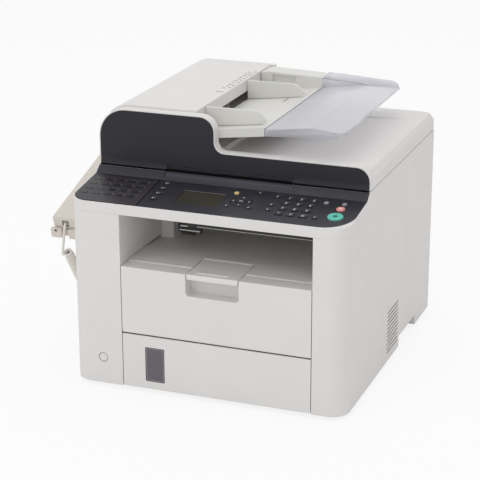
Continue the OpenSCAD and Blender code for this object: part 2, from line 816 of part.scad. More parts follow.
// Flatbed pane and the feeder's narrow scanning pane, drawn in by inset
module glass_panes(inset, z0, z1) {
    glass_x = (body_w - glass_l) / 2 + 8;
    glass_y = front_wall_y1 + 5;
    for (pane = [[glass_x, glass_l], [22, 18]])
        box([pane[0] + inset, glass_y + inset, z0],
            [pane[0] + pane[1] - inset, glass_y + glass_w - inset, z1]);
}

module scanner_glass() { color([0.6, 0.75, 0.72, 0.4]) glass_panes(0, scanner_top - glass_t, scanner_top); }

module scan_carriage() {
    z0 = side_top + wall + 3.4;
    color(dark_c) difference() {
        box([18, front_wall_y1 - 6, z0], [46, front_wall_y1 + glass_w + 14, scanner_top - 4]);
        box([28, front_wall_y1 + 6, z0 + 8], [34, front_wall_y1 + glass_w + 2, scanner_top]);
        box([17, rail_y - 2.3, z0 - eps], [47, rail_y + 2.3, side_top + wall + 7.5]);
    }
}

// Front view of the feeder, drawn in by inset: tall on the left, low on the right, joined by a hollow curve
module face_view(bottom, inset = 0) {
    round_r = 22 - inset;
    hollow_r = 13 + inset;
    low_r = 20 - inset;
    tall_r = feeder_r - inset;
    lx = lid_in + inset;
    rx = body_w - lid_in - inset;
    fx = face_w - inset;
    top = face_top - inset;
    low = face_low - inset;
    intersection() {
        translate([0, bottom]) square([body_w, top - bottom]);
        union() {
            translate([lx, bottom]) square([tall_r, top - tall_r - bottom]);
            translate([lx + tall_r, bottom]) square([fx - round_r - lx - tall_r, top - bottom]);
            translate([fx - round_r - 1, bottom]) square([round_r + 1, top - round_r - bottom]);
            translate([fx - 1, bottom]) square([rx - low_r - fx + 1, low - bottom]);
            translate([rx - low_r - 1, bottom]) square([low_r + 1, low - low_r - bottom]);
            translate([lx + tall_r, top - tall_r]) circle(tall_r);
            translate([fx - round_r, top - round_r]) circle(round_r);
            translate([rx - low_r, low - low_r]) circle(low_r);
            difference() {
                translate([fx - 1, low - 1]) square([hollow_r + 1, hollow_r + 1]);
                translate([fx + hollow_r, low + hollow_r]) circle(hollow_r);
            }
        }
    }
}

// Finger recess at the bottom of the feeder's front
module grip_view() { round_rect([100, lid_z0 - 20], [283, lid_z0 + grip_h], 4); }

module feeder_front() {
    color(black_c) difference() {
        along_y(feeder_y, front_wall_y0) face_view(lid_z0, face_rim);
        along_y(feeder_y - eps, front_wall_y0 + eps) grip_view();
    }
}

// Lid over the glass, with the feeder's frame on its left
module platen_cover() {
    basin_x = 172;
    y1 = body_d - 0.5;
    knuckle = 6;
    color(shell_c) difference() {
        union() {
            along_y(front_wall_y0, front_wall_y1) face_view(lid_z0);
            // Lid, with its right and rear edges sloping in
            intersection() {
                along_y(front_wall_y0, y1) {
                    polygon([[lid_in, lid_z0], [body_w - lid_in, lid_z0], [body_w - lid_in, lid_z1 - 14],
                        [body_w - 6, lid_z1 - 4], [body_w - 16, lid_z1], [lid_in, lid_z1]]);
                }
                along_x(0, body_w) polygon([[front_wall_y0, lid_z0], [y1, lid_z0], [y1, lid_z1 - 12],
                    [y1 - 4, lid_z1 - 3], [y1 - 12, lid_z1], [front_wall_y0, lid_z1]]);
            }
            // Feeder frame: floor, rear wall and the support of the document tray
            box([lid_in, front_wall_y1, lid_z1 - 2], [tray_x0 - 0.4, feeder_back, feeder_z - 0.5]);
            along_y(feeder_back - 8, feeder_back) {
                feeder_cover_view(0);
                translate([lid_in, lid_z0]) square([feeder_cover_w - lid_in, feeder_z + 1 - lid_z0]);
                translate([feeder_cover_w - 1, lid_z1 - 1]) square([8, feeder_top - lid_z1 + 1]);
            }
            for (y = [front_wall_y1, rear_block_y - 8]) along_y(y, y + 20) polygon([[tray_x0, lid_z1 - 1],
                [tray_x0 + 4, lid_z1 - 1], [tray_x0 + 4, tray_surface(tray_x0 + 4) - tray_t],
                [tray_x0, tray_z - tray_t]]);
            along_y(rear_block_y, rear_block_y + rear_block_l) polygon([[tray_x0, lid_z1 - 1],
                [tray_right - 4, lid_z1 - 1], [tray_right - 4, tray_surface(tray_right - 4) - tray_t],
                [tray_x0, tray_z - tray_t]]);
            for (s = [-1, 1]) box([feed_x - 8, guide_mid_y + s * stand_half - 2, feeder_z - 1],
                [feed_x + 8, guide_mid_y + s * stand_half + 2, feed_z + 6]);
            // Hinge knuckles behind the lid
            for (x = hinge_places, s = [-1, 1])
                lid_knuckle(x + hinge_ear / 2 + s * (hinge_ear / 2 + knuckle / 2 + 0.4), knuckle);
            for (x = hinge_places) rod_x(x - 2, x + hinge_ear + 2, body_d + hinge_back, hinge_z, hinge_pin_r);
        }
        // Hollow under the lid and the seat of the platen pad
        box([12, front_wall_y1 - 8, lid_z0 - eps], [body_w - 12, body_d - 14, lid_z0 + pad_t]);
        box([16, front_wall_y1 - 4, lid_z0], [body_w - 20, body_d - 18, lid_z1 - 9]);
        // Catch basin for the scanned documents
        along_y(front_wall_y1, rear_block_y) polygon([[basin_x, lid_z1 - 7], [basin_x, lid_z1 + 10],
            [body_w - 30, lid_z1 + 10], [body_w - 30, lid_z1]]);
        rod_y(guide_mid_y - stand_half - 2 - eps, guide_mid_y + stand_half + 2 + eps, feed_x, feed_z,
            shaft_r + pin_clear);
        // Clearance round the hinge ears
        for (x = hinge_places) difference() {
            rod_x(x - 0.4, x + hinge_ear + 0.4, body_d + hinge_back, hinge_z, hinge_r + 3);
            rod_x(x - 0.4, x + hinge_ear + 0.4, body_d + hinge_back, hinge_z, hinge_pin_r);
        }
        feeder_pin_bores();
        // Groove that the feeder cover's lower edge turns in, and the finger recess in front
        rod_y(front_wall_y1, feeder_back - 8, cover_axis_x, feeder_axis_z, 8.6);
        along_y(front_wall_y0 - eps, front_wall_y0 + 5) grip_view();
    }
}

// Bores for the feeder cover's pins
module feeder_pin_bores() {
    rod_y(front_wall_y1 - 4, front_wall_y1 + eps, cover_axis_x, feeder_axis_z, feeder_pin_r + pin_clear);
    rod_y(feeder_back - 8 - eps, feeder_back - 4, cover_axis_x, feeder_axis_z, feeder_pin_r + pin_clear);
}

module lid_knuckle(x, w) {
    rod_x(x - w / 2, x + w / 2, body_d + hinge_back, hinge_z, hinge_r - 1);
    box([x - w / 2, body_d - 3, hinge_z - 3], [x + w / 2, body_d + hinge_back, hinge_z + hinge_r - 1]);
}

module platen_pad() {
    color([0.93, 0.93, 0.92]) box([12.5, front_wall_y1 - 7.5, lid_z0 + 0.2],
        [body_w - 12.5, body_d - 14.5, lid_z0 + pad_t]);
}

// Opening cover of the feeder, hinged along its lower left edge
module feeder_cover() {
    y0 = front_wall_y1 + 0.5;
    y1 = feeder_back - 8.5;
    t = 2.6;
    color(shell_c) difference() {
        union() {
            along_y(y0, y1) difference() {
                feeder_cover_view(0);
                feeder_cover_view(t);
            }
            for (y = [y0, y1 - t]) along_y(y, y + t) feeder_cover_view(0);
            rod_y(y0 - 3.5, y0 + 12, cover_axis_x, feeder_axis_z, feeder_pin_r);
            rod_y(y1 - 12, y1 + 3.5, cover_axis_x, feeder_axis_z, feeder_pin_r);
        }
        // Document slot
        box([feeder_cover_w - 12, y0 + 20, feeder_z - 5], [feeder_cover_w + eps, y1 - 40, slot_z]);
    }
}

module feeder_cover_view(inset) {
    r = feeder_r - inset;
    lx = lid_in + inset;
    rx = feeder_cover_w - inset;
    top = feeder_top - inset;
    low = feeder_z + (inset > 0 ? -eps : 0);
    translate([lx + r, low]) square([rx - lx - r, top - low]);
    translate([lx, low]) square([r + 1, top - r - low]);
    intersection() {
        translate([lx + r, top - r]) circle(r);
        translate([lx, low]) square([rx - lx, top - low]);
    }
}

function tray_surface(x) = tray_z + tray_rise * (x - tray_x0);

module document_tray() {
    y0 = front_wall_y1;
    y1 = rear_block_y + rear_block_l;
    right_z = tray_surface(tray_right);
    rim_x = tray_x0 + 20;
    block_right_z = feeder_top - block_fall;
    color(shell_c) difference() {
        union() {
            along_y(y0, y1) polygon([[tray_x0, tray_z - tray_t], [tray_right, right_z - tray_t],
                [tray_right, right_z], [tray_x0, tray_z]]);
            along_y(y0, y0 + 3) polygon([[rim_x, tray_surface(rim_x) - 2], [tray_right, right_z - 2],
                [tray_right, right_z + 2.8], [rim_x, tray_surface(rim_x) + 2.5]]);
            along_y(rear_block_y, y1) polygon([[tray_x0, tray_z - tray_t], [tray_right, right_z - tray_t],
                [tray_right, block_right_z], [tray_x0 + 10, feeder_top], [tray_x0, feeder_top - 2]]);
        }
        // Finger grip in the face of the raised rear block
        box([tray_x0 + 18, rear_block_y - eps, feeder_top - 14],
            [tray_x0 + 54, rear_block_y + 4, feeder_top - 4.5]);
        // Channels for the guides' racks and the pinion's seat, open below, and the stems' slots
        for (s = [-1, 1]) {
            x = guide_slot_x + s * rack_off;
            box([x - rack_w / 2 - 0.4, guide_mid_y + (s < 0 ? -85 : -34), tray_z - tray_t],
                [x + rack_w / 2 + 0.4, guide_mid_y + (s < 0 ? 34 : 85), rack_z + rack_h + 0.4]);
            box([x - rack_stem / 2 - 0.3, guide_mid_y + (s < 0 ? -84 : 53), rack_z],
                [x + rack_stem / 2 + 0.3, guide_mid_y + (s < 0 ? -53 : 84), tray_z + 20]);
        }
        rod_z(tray_z - tray_t, rack_z + rack_h + 0.4, guide_slot_x, guide_mid_y, pinion_r + 0.8);
    }
    color(shell_c) rod_z(rack_z - 1, rack_z + rack_h + 1, guide_slot_x, guide_mid_y, pinion_pin_r);
}

module document_guide(side) {
    y = guide_mid_y + side * document_w / 2;
    ya = side < 0 ? y - guide_t : y;
    top = feeder_top - 0.8;
    right = tray_right - 7;
    color(shell_c) {
        along_y(ya, ya + guide_t) polygon([[tray_x0 + 0.6, tray_surface(tray_x0) + 0.6],
            [right - 8, tray_surface(right - 8) + 0.5], [right - 1, tray_surface(right) + 3],
            [right, tray_surface(right) + 5.5], [right - 3, tray_surface(right) + 9], [right - 11, top - 1],
            [right - 16, top], [tray_x0 + 0.6, top]]);
        // Foot and rack
        x = guide_slot_x + side * rack_off;
        far = guide_mid_y - side * 4;
        along_y(min(far, y), max(far, y)) translate([x - rack_w / 2, rack_z]) square([rack_w, rack_h]);
        box([x - rack_stem / 2, min(y, y + side * guide_t), rack_z],
            [x + rack_stem / 2, max(y, y + side * guide_t), tray_surface(x) + 3]);
        box([x - rack_w / 2, min(y, y + side * guide_t), rack_z],
            [x + rack_w / 2, max(y, y + side * guide_t), rack_z + rack_h]);
    }
}

module document_guide_front() { document_guide(-1); }
module document_guide_rear() { document_guide(1); }
module guide_pinion() {
    color(dark_c) difference() {
        rod_z(rack_z, rack_z + rack_h, guide_slot_x, guide_mid_y, pinion_r);
        rod_z(rack_z - eps, rack_z + rack_h + eps, guide_slot_x, guide_mid_y, pinion_pin_r + pin_clear);
    }
}

// Clear extension of the document tray: a bent sheet with a lip in front and a raised ledge behind
module tray_extension() {
    x0 = tray_right;
    xk = x0 + extension_knee;
    x1 = extension_right;
    y0 = front_wall_y1 + 1;
    z0 = tray_surface(x0);
    zk = tray_surface(xk);
    z1 = zk - extension_fall;
    t = extension_t;
    color(clear_c) difference() {
        union() {
            intersection() {
                along_y(y0, rear_block_y + rear_block_l) polygon([[x0, z0 - t], [xk, zk - t], [x1, z1 - t],
                    [x1, z1], [xk, zk], [x0, z0]]);
                along_z(z0 - t, feeder_top) extension_plan(x0, 0);
            }
            along_y(y0, y0 + t) polygon([[x0, z0 - 9], [x1 - 8, z1 - 6.5], [x1 - 8, z1 - t / 2],
                [xk, zk - t / 2], [x0, z0 - t / 2]]);
            ledge(x0, 0);
        }
        ledge(x0, t);
    }
}

// Outline of the extension from above, drawn in by inset
module extension_plan(x0, inset) {
    x1 = extension_right - inset;
    y0 = front_wall_y1 + 1 + inset;
    y1 = rear_block_y + rear_block_l - inset;
    front_r = 8 - inset;
    rear_r = 14 - inset;
    translate([x0, y0]) square([x1 - rear_r - x0, y1 - y0]);
    translate([x0, y0 + front_r]) square([x1 - x0, y1 - y0 - front_r - rear_r]);
    translate([x1 - front_r, y0 + front_r]) circle(front_r);
    translate([x1 - rear_r, y1 - rear_r]) circle(rear_r);
}

// Raised rear ledge of the extension, hollow below, narrower past the bend
module ledge(x0, inset) {
    xk = x0 + extension_knee;
    x1 = extension_right - 1 - inset;
    y1 = rear_block_y + rear_block_l;
    z0 = tray_surface(x0);
    low = z0 - (inset > 0 ? 9 : extension_t);
    high = feeder_top - block_fall - inset;
    intersection() {
        along_y(rear_block_y, y1) polygon([[x0 + inset, low], [x0 + inset, high], [xk, high - 4],
            [x1 - 12, high - 5], [x1 - 4, high - 7], [x1, high - 10], [x1, low]]);
        along_z(low, feeder_top) polygon([[x0, rear_block_y + inset], [xk, rear_block_y + 3 + inset],
            [x1 - 12, y1 - 12 + inset], [x1, y1 - 10 + inset], [x1, y1], [x0, y1]]);
        along_z(low, feeder_top) extension_plan(x0, inset);
    }
}

module rear_cover() {
    x0 = door_x0 + cover_gap;
    x1 = door_x1 - cover_gap;
    z1 = door_z1 - cover_gap;
    rib_x0 = x0 + 20;
    rib_t = 3;
    rib_pitch = (x1 - x0 - 40 - rib_t) / (door_ribs - 1);
    color(shell_c) {
        along_x(x0, x1) {
            translate([rear_in, door_axis_z]) square([wall, z1 - door_axis_z]);
            translate([door_axis_y, door_axis_z]) circle(door_pin_in);
        }
        for (i = [0 : door_ribs - 1]) along_x(rib_x0 + i * rib_pitch, rib_x0 + rib_t + i * rib_pitch)
            translate([rear_in - 6, door_axis_z + 12]) square([6 + wall / 2, z1 - door_axis_z - 24]);
        rod_x(x0 - 6, x1 + 6, door_axis_y, door_axis_z, door_pin_r);
    }
}

// Handset coordinates: X across, Y along the handset from its front end, Z away from the cradle
module on_cradle() { translate([0, handset_y, handset_z]) rotate([cradle_tilt, 0, 0]) children(); }

module handset_side() {
    r = 5;
    difference() {
        round_rect([0, 0], [handset_l, handset_h], r);
        translate([pod, -eps]) square([handset_l - 2 * pod, 7 + eps]);
    }
}

module handset() {
    color(beige_c) on_cradle() difference() {
        intersection() {
            along_x(hx0, hx1) handset_side();
            along_z(-eps, handset_h + eps) round_rect([hx0, 0], [hx1, handset_l], 9);
        }
        box([jack_x - jack_w / 2, -eps, jack_z - jack_w / 2], [jack_x + jack_w / 2, 16, jack_z + jack_w / 2]);
        // Sound holes of the mouthpiece and the earpiece
        for (y = [20, handset_l - 22], a = [0 : 60 : 300])
            translate([(hx0 + hx1) / 2 + 5 * cos(a), y + 5 * sin(a), -eps]) cylinder(h = 3, r = 1);
    }
}

module handset_cradle() {
    low = -11;
    x0 = hx0 - cradle_rim;
    hump = 5.6;
    color(beige_c) difference() {
        on_cradle() {
            box([x0, -7, low], [0, handset_l + 7, -0.6]);
            box([x0, -7, low], [0, -0.8, 3]);
            box([x0, handset_l + 0.8, low], [0, handset_l + 7, 3]);
            box([hx1 + 0.8, -7, low], [0, handset_l + 7, 5]);
            box([hx0 + 6, pod + 3, -1], [hx1 - 6, handset_l - pod - 3, hump]);
        }
        // Notch for the cord and bore of the hook switch
        on_cradle() box([jack_x - 5, -8, low - eps], [jack_x + 5, -0.7, 12]);
        on_cradle() rod_z(low - eps, hump + eps, (hx0 + hx1) / 2, hook_y, hook_r + 0.3);
    }
}

module hook_switch() {
    color(rubber_c) on_cradle() {
        rod_z(-10, 6.8, (hx0 + hx1) / 2, hook_y, hook_r);
    }
}

module handset_socket() {
    color(rubber_c) difference() {
        box([-1, socket_y - 8, socket_z - 8], [14, socket_y + 8, socket_z + 8]);
        box([-2, socket_y - 5.4, socket_z - 4.7], [11, socket_y + 5.4, socket_z + 4.7]);
    }
}

module rubber_feet() {
    color(rubber_c) for (at = feet_at) {
        rod_z(-foot_h, 0, at[0], at[1], 9);
        rod_z(0, floor_t, at[0], at[1], 2.95);
    }
}

// Boards: key board under the panel, main board behind the left cover
module circuit_boards() {
    color(board_c) {
        on_panel(16, 12) translate([0, 0, -11.4]) cube([body_w - 56, 70, 1.6]);
        for (x = [30, body_w - 60]) rod_z(side_top + wall, panel_z(50) - 10, x, 50, 2.5);
        box([20, 120, floor_t + 8], [21.6, body_d - 40, 190]);
        for (y = [130, body_d - 60]) box([19, y, floor_t], [22.6, y + 8, floor_t + 8]);
        box([21.6, 180, 60], [30, 230, 110]);
        box([21.6, 260, 120], [34, 290, 160]);
    }
}

module power_supply() {
    color(board_c) {
        x = supply_x + supply_t;
        mid = (supply_y0 + supply_y1) / 2;
        box([supply_x, supply_y0, supply_z], [x, supply_y1, supply_z + supply_h]);
        box([supply_x - 3, supply_y1 - 18, floor_t], [x, supply_y1 - 2, supply_z + 2]);
        box([x - 0.2, supply_y0 + 8, supply_z + 8], [x + 22, mid - 19, supply_z + 40]);
        box([x - 0.2, mid + 1, supply_z + 18], [x + 18, supply_y1 - 14, supply_z + 36]);
        for (y = [supply_y0 + 20, supply_y0 + 42]) rod_x(x - 0.2, x + 20, y, supply_z + 62, 8);
    }
}

module laser_unit() {
    color(dark_c) {
        box([plate_l + plate_t, laser_y0, laser_z], [plate_r, laser_y1, laser_z + laser_h]);
        rod_z(laser_z + laser_h - 1, laser_z + laser_h + 3, bay_mid, laser_y1 - 50, mirror_r);
    }
}

module toner_cartridge() {
    color(dark_c) {
        box([bay_l + 6, toner_y, drum_z - toner_h / 2], [bay_r - 6, drum_y, drum_z + toner_h / 2]);
        rod_x(bay_l + 6, bay_r - 6, drum_y, drum_z, drum_r);
        box([bay_mid - 40, toner_y - 18, drum_z - 2], [bay_mid + 40, toner_y + 1, drum_z + 4]);
        rod_x(plate_l + plate_t, plate_r, drum_y - 55, drum_z, 5);
    }
}

module fuser_frame() {
    y0 = fuser_y - fuser_r - 6;
    y1 = fuser_y + fuser_r + 2 * pressure_r + 5;
    color(dark_c) difference() {
        box([plate_l + plate_t, y0, fuser_z - 26], [plate_r, y1, fuser_z + 24]);
        box([plate_l + plate_t + 4, y0 + 3, fuser_z - 18], [plate_r - 4, y1 - 3, fuser_z + 18]);
        box([plate_l + plate_t + 12, fuser_y + 2, fuser_z - 30], [plate_r - 12, fuser_y + 22, fuser_z + 30]);
        for (y = [fuser_y, fuser_y + fuser_r + pressure_r])
            rod_x(plate_l, plate_r + 4, y, fuser_z, shaft_r + 0.4);
    }
}

module shaft_roller(x0, x1, y, z, r) {
    rod_x(plate_l - 3, plate_r + plate_t + 3, y, z, shaft_r);
    rod_x(x0, x1, y, z, r);
}
module fuser_roller() { color(steel_c) shaft_roller(plate_l + 14, plate_r - 12, fuser_y, fuser_z, fuser_r); }
module pressure_roller() {
    color(rubber_c) shaft_roller(plate_l + 14, plate_r - 12, fuser_y + fuser_r + pressure_r, fuser_z,
        pressure_r - 0.1);
}
module pickup_roller() {
    color(rubber_c) shaft_roller(bay_mid - 24, bay_mid + 24, pickup_y, pickup_z, pickup_r);
}
module exit_roller() {
    color(rubber_c) {
        shaft_roller(bay_mid - 90, bay_mid - 70, exit_y, exit_z, exit_r);
        for (x = [-25, 25, 75]) rod_x(bay_mid + x - 10, bay_mid + x + 10, exit_y, exit_z, exit_r);
    }
}
module feed_roller() {
    y = guide_mid_y;
    color(rubber_c) {
        rod_y(y - stand_half - 4, y + stand_half + 4, feed_x, feed_z, shaft_r);
        rod_y(y - 20, y + 20, feed_x, feed_z, feed_r);
    }
}

// Fan behind the vents of the right cover
module fan_frame() {
    x0 = bay_r + wall + plate_t;
    color(dark_c) difference() {
        box([x0, fan_y - fan_half, fan_z - fan_half], [x0 + 14, fan_y + fan_half, fan_z + fan_half]);
        rod_x(x0 + 2.5, x0 + 16, fan_y, fan_z, 25.5);
        rod_x(x0 - eps, x0 + 5, fan_y, fan_z, 2 + pin_clear);
        for (a = [0 : 90 : 270]) translate([x0 - eps, fan_y, fan_z]) rotate([a + 45, 0, 0])
            translate([0, 17, 0]) rotate([0, 90, 0]) cylinder(h = 6, r = 5.5);
    }
}
module fan_rotor() {
    x0 = bay_r + wall + plate_t;
    color(rubber_c) {
        rod_x(x0 + 0.5, x0 + 5, fan_y, fan_z, 2);
        rod_x(x0 + 4, x0 + 12, fan_y, fan_z, 9);
        for (a = [0 : 360 / 7 : 359]) translate([x0 + 8, fan_y, fan_z]) rotate([a, 0, 0])
            rotate([0, 28, 0]) translate([-0.8, 7, -4]) cube([1.6, 16, 8]);
    }
}

module drive_motor() {
    x0 = bay_r + wall + plate_t;
    color(steel_c) {
        rod_x(x0, x0 + 22, 120, 150, 19);
        rod_x(x0 + 22, x0 + 28, 120, 150, 2.5);
        rod_x(x0 + 22, x0 + 27, 120, 150, 6);
        rod_x(x0, x0 + 6, 92, 120, 12);
    }
}

module cover_screws() {
    color(steel_c) for (x = [8, body_w - 8], z = screws_z) {
        rod_y(rear_in - 9, body_d, x, z, screw_r);
        rod_y(body_d, body_d + 2, x, z, 2 * screw_r);
    }
}

// Tube swept along points: rings of n corners square to the route
function unit(v) = v / norm(v);
function direction(p, i) = unit(p[min(i + 1, len(p) - 1)] - p[max(i - 1, 0)]);
function ring(c, d, r, n) = let (s = unit(cross(d, abs(d[0]) < 0.9 ? [1, 0, 0] : [0, 1, 0])), t = cross(d, s))
    [for (k = [0 : n - 1]) c + r * (cos(360 * k / n) * s + sin(360 * k / n) * t)];
module tube(p, r, n) {
    last = (len(p) - 1) * n;
    polyhedron(
        points = [for (i = [0 : len(p) - 1]) each ring(p[i], direction(p, i), r, n)],
        faces = concat(
            [[for (k = [0 : n - 1]) k]],
            [for (i = [0 : len(p) - 2], k = [0 : n - 1]) [i * n + k, (i + 1) * n + k,
                (i + 1) * n + (k + 1) % n, i * n + (k + 1) % n]],
            [[for (k = [0 : n - 1]) last + n - 1 - k]]));
}

module cord_tail() { color([0.8, 0.8, 0.79]) tube(tail_points, cord_d / 2, 8); }
module cord_end() { color([0.8, 0.8, 0.79]) tube(end_points, cord_d / 2, 8); }
module cord_curl() { color([0.8, 0.8, 0.79]) tube(curl_points, curl_d / 2, 12); }
module handset_plug() {
    color([0.85, 0.85, 0.8, 0.6]) on_cradle()
        box([jack_x - 3.9, 1, jack_z - 3.4], [jack_x + 3.9, 16, jack_z + 3.4]);
}
module socket_plug() {
    color([0.85, 0.85, 0.8, 0.6])
        box([-2, socket_y - 3.9, socket_z - 3.4], [11, socket_y + 3.9, socket_z + 3.4]);
}

place() base_frame();
place() left_cover();
place() right_cover();
place() rear_panel();
place() side_plates();
place() output_tray();
place() scanner_housing();
place() scanner_glass();
place() operation_panel();
place() lcd_window();
place() rubber_feet();
place() handset_cradle();
place() handset_socket();
place() circuit_boards();
place() power_supply();
place() laser_unit();
place() fuser_frame();
place() toner_cartridge();
place() rear_sockets();
place() fan_frame();
place() drive_motor();
place() cover_screws();
place() cassette_tray();
place() cassette_window();
place() lift_plate();
place() cassette_guide_left();
place() cassette_guide_right();
place() front_cover();
place() paper_stop();
place() power_button();
place() platen_cover();
place() feeder_front();
place() platen_pad();
place() document_tray();
place() tray_extension();
place() feeder_cover();
place() document_guide_front();
place() document_guide_rear();
place() guide_pinion();
place() rear_cover();
place() handset();
place() hook_switch();
place() scan_carriage();
place() fuser_roller();
place() pressure_roller();
place() pickup_roller();
place() feed_roller();
place() exit_roller();
place() fan_rotor();
place() start_key();
place() stop_key();
place() number_keys();
place() one_touch_keys();
place() function_keys();
place() menu_keys();
place() cord_tail();
place() cord_curl();
place() handset_plug();
place() cord_end();
place() socket_plug();
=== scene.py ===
import json
import math
import bpy
import bmesh
from mathutils import Matrix, Vector


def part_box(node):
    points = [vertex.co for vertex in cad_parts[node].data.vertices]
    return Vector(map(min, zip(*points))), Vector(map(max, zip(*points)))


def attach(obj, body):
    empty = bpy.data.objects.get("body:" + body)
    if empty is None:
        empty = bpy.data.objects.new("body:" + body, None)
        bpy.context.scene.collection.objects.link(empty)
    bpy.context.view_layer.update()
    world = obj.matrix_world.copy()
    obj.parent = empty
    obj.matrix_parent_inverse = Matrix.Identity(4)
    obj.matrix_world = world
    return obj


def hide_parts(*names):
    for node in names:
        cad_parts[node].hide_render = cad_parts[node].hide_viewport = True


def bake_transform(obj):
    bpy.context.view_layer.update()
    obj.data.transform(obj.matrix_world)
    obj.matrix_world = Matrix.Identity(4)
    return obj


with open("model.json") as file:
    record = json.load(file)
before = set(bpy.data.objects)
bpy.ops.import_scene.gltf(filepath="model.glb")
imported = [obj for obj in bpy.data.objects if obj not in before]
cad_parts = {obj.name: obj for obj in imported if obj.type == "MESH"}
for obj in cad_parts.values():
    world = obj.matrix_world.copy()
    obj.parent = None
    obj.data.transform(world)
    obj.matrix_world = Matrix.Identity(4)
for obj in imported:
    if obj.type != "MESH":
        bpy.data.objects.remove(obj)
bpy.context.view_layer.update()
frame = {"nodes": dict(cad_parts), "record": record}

# ---------------- places and sizes
# Lengths are in millimetres from the body's lower left front corner, as the part's own drawing has them.
MM = 0.001
ORIGIN = Vector(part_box("left_cover")[0])
BODY_W = (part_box("right_cover")[1][0] - ORIGIN.x) / MM
BODY_D = (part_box("rear_panel")[1][1] - ORIGIN.y) / MM
PANEL_FRONT_Z = 259.0
PANEL_SLOPE = 0.138
PANEL_TILT = math.atan(PANEL_SLOPE)
PANEL_D = 99.6
PANEL_KNEE = PANEL_D - 11.6
CRADLE_TILT = math.radians(17)
CRADLE_AT = (0, 73, 188.5)
SCANNER_TOP = 280.4
LID_Z0 = SCANNER_TOP + 0.7
FEEDER_Y = 99.9
FRONT_WALL_Y0 = FEEDER_Y + 2
FRONT_WALL_Y1 = FRONT_WALL_Y0 + 15
COVER_TOP = 173.3


TO_ROW = Matrix.Translation(ORIGIN) @ Matrix.Scale(MM, 4)
CRADLE = Matrix.Translation(CRADLE_AT) @ Matrix.Rotation(CRADLE_TILT, 4, "X")


def panel_z(y):
    return PANEL_FRONT_Z + PANEL_SLOPE * y


def on_panel(x, y, lift=0.0):
    """Matrix that stands a piece on the operation panel's surface."""
    place = Matrix.Translation((x, y, panel_z(y))) @ Matrix.Rotation(PANEL_TILT, 4, "X")
    return place @ Matrix.Translation((0, 0, lift))


# ---------------- camera
CAMERA_AT = (0.7831, -2.0734, 0.9186)
CAMERA_PITCH = 0.3322
CAMERA_YAW = 0.3621
CAMERA_ROLL = -0.0032
CAMERA_LENS = 122.16


def make_camera():
    data = bpy.data.cameras.new("camera")
    data.lens = CAMERA_LENS
    data.sensor_width = 36
    data.clip_end = 50
    camera = bpy.data.objects.new("camera", data)
    bpy.context.collection.objects.link(camera)
    turn = Matrix.Rotation(CAMERA_YAW, 4, "Z") @ Matrix.Rotation(math.pi / 2 - CAMERA_PITCH, 4, "X")
    camera.matrix_world = Matrix.Translation(CAMERA_AT) @ turn @ Matrix.Rotation(CAMERA_ROLL, 4, "Z")
    bpy.context.scene.camera = camera


make_camera()


# ---------------- materials
def rgb(text):
    """Linear colour from a hex code."""
    parts = [int(text[i:i + 2], 16) / 255 for i in (0, 2, 4)]
    return [p / 12.92 if p <= 0.04045 else ((p + 0.055) / 1.055) ** 2.4 for p in parts]


class Nodes:
    """Short way to build a node material round one Principled shader."""

    def __init__(self, name):
        self.material = bpy.data.materials.new(name)
        self.material.use_nodes = True
        self.tree = self.material.node_tree
        self.shader = self.tree.nodes["Principled BSDF"]
        self.coords = self.tree.nodes.new("ShaderNodeTexCoord").outputs["Object"]

    def set(self, **values):
        for key, value in values.items():
            self.shader.inputs[key.replace("_", " ")].default_value = value

    def noise(self, size_mm, detail=2.0, stretch=(1, 1, 1)):
        """Noise with blobs of about that size."""
        mapping = self.tree.nodes.new("ShaderNodeMapping")
        mapping.inputs["Scale"].default_value = stretch
        self.tree.links.new(self.coords, mapping.inputs["Vector"])
        noise = self.tree.nodes.new("ShaderNodeTexNoise")
        noise.inputs["Scale"].default_value = 1 / (size_mm * MM)
        noise.inputs["Detail"].default_value = detail
        self.tree.links.new(mapping.outputs["Vector"], noise.inputs["Vector"])
        return noise.outputs["Fac"]

    def ramp(self, source, stops):
        ramp = self.tree.nodes.new("ShaderNodeValToRGB")
        ramp.color_ramp.elements[0].position = stops[0][0]
        ramp.color_ramp.elements[0].color = (*stops[0][1], 1)
        ramp.color_ramp.elements[1].position = stops[-1][0]
        ramp.color_ramp.elements[1].color = (*stops[-1][1], 1)
        for position, color in stops[1:-1]:
            ramp.color_ramp.elements.new(position).color = (*color, 1)
        self.tree.links.new(source, ramp.inputs["Fac"])
        return ramp.outputs["Color"]

    def tint(self, color, spread, size_mm):
        """Base colour that drifts a little over the surface."""
        low = [c * (1 - spread) for c in color]
        high = [min(1, c * (1 + spread)) for c in color]
        color_out = self.ramp(self.noise(size_mm, 3), [(0.3, low), (0.7, high)])
        self.tree.links.new(color_out, self.shader.inputs["Base Color"])

    def roughen(self, base, spread, size_mm):
        """Roughness that drifts a little over the surface."""
        low = [max(0, base - spread)] * 3
        high = [min(1, base + spread)] * 3
        value_out = self.ramp(self.noise(size_mm, 2), [(0.3, low), (0.7, high)])
        self.tree.links.new(value_out, self.shader.inputs["Roughness"])

    def bump(self, source, depth_mm, strength=1.0):
        bump = self.tree.nodes.new("ShaderNodeBump")
        bump.inputs["Distance"].default_value = depth_mm * MM
        bump.inputs["Strength"].default_value = strength
        self.tree.links.new(source, bump.inputs["Height"])
        self.tree.links.new(bump.outputs["Normal"], self.shader.inputs["Normal"])


def plastic(name, color, roughness=0.5, grain_mm=0.45, grain_depth=0.02, spread=0.012, specular=0.4):
    """Moulded plastic: fine spark-eroded grain, slight drift of colour and of gloss."""
    n = Nodes(name)
    n.tint(color, spread, 60)
    n.roughen(roughness, 0.05, 25)
    n.bump(n.noise(grain_mm, 3), grain_depth)
    n.set(Specular_IOR_Level=specular)
    return n.material


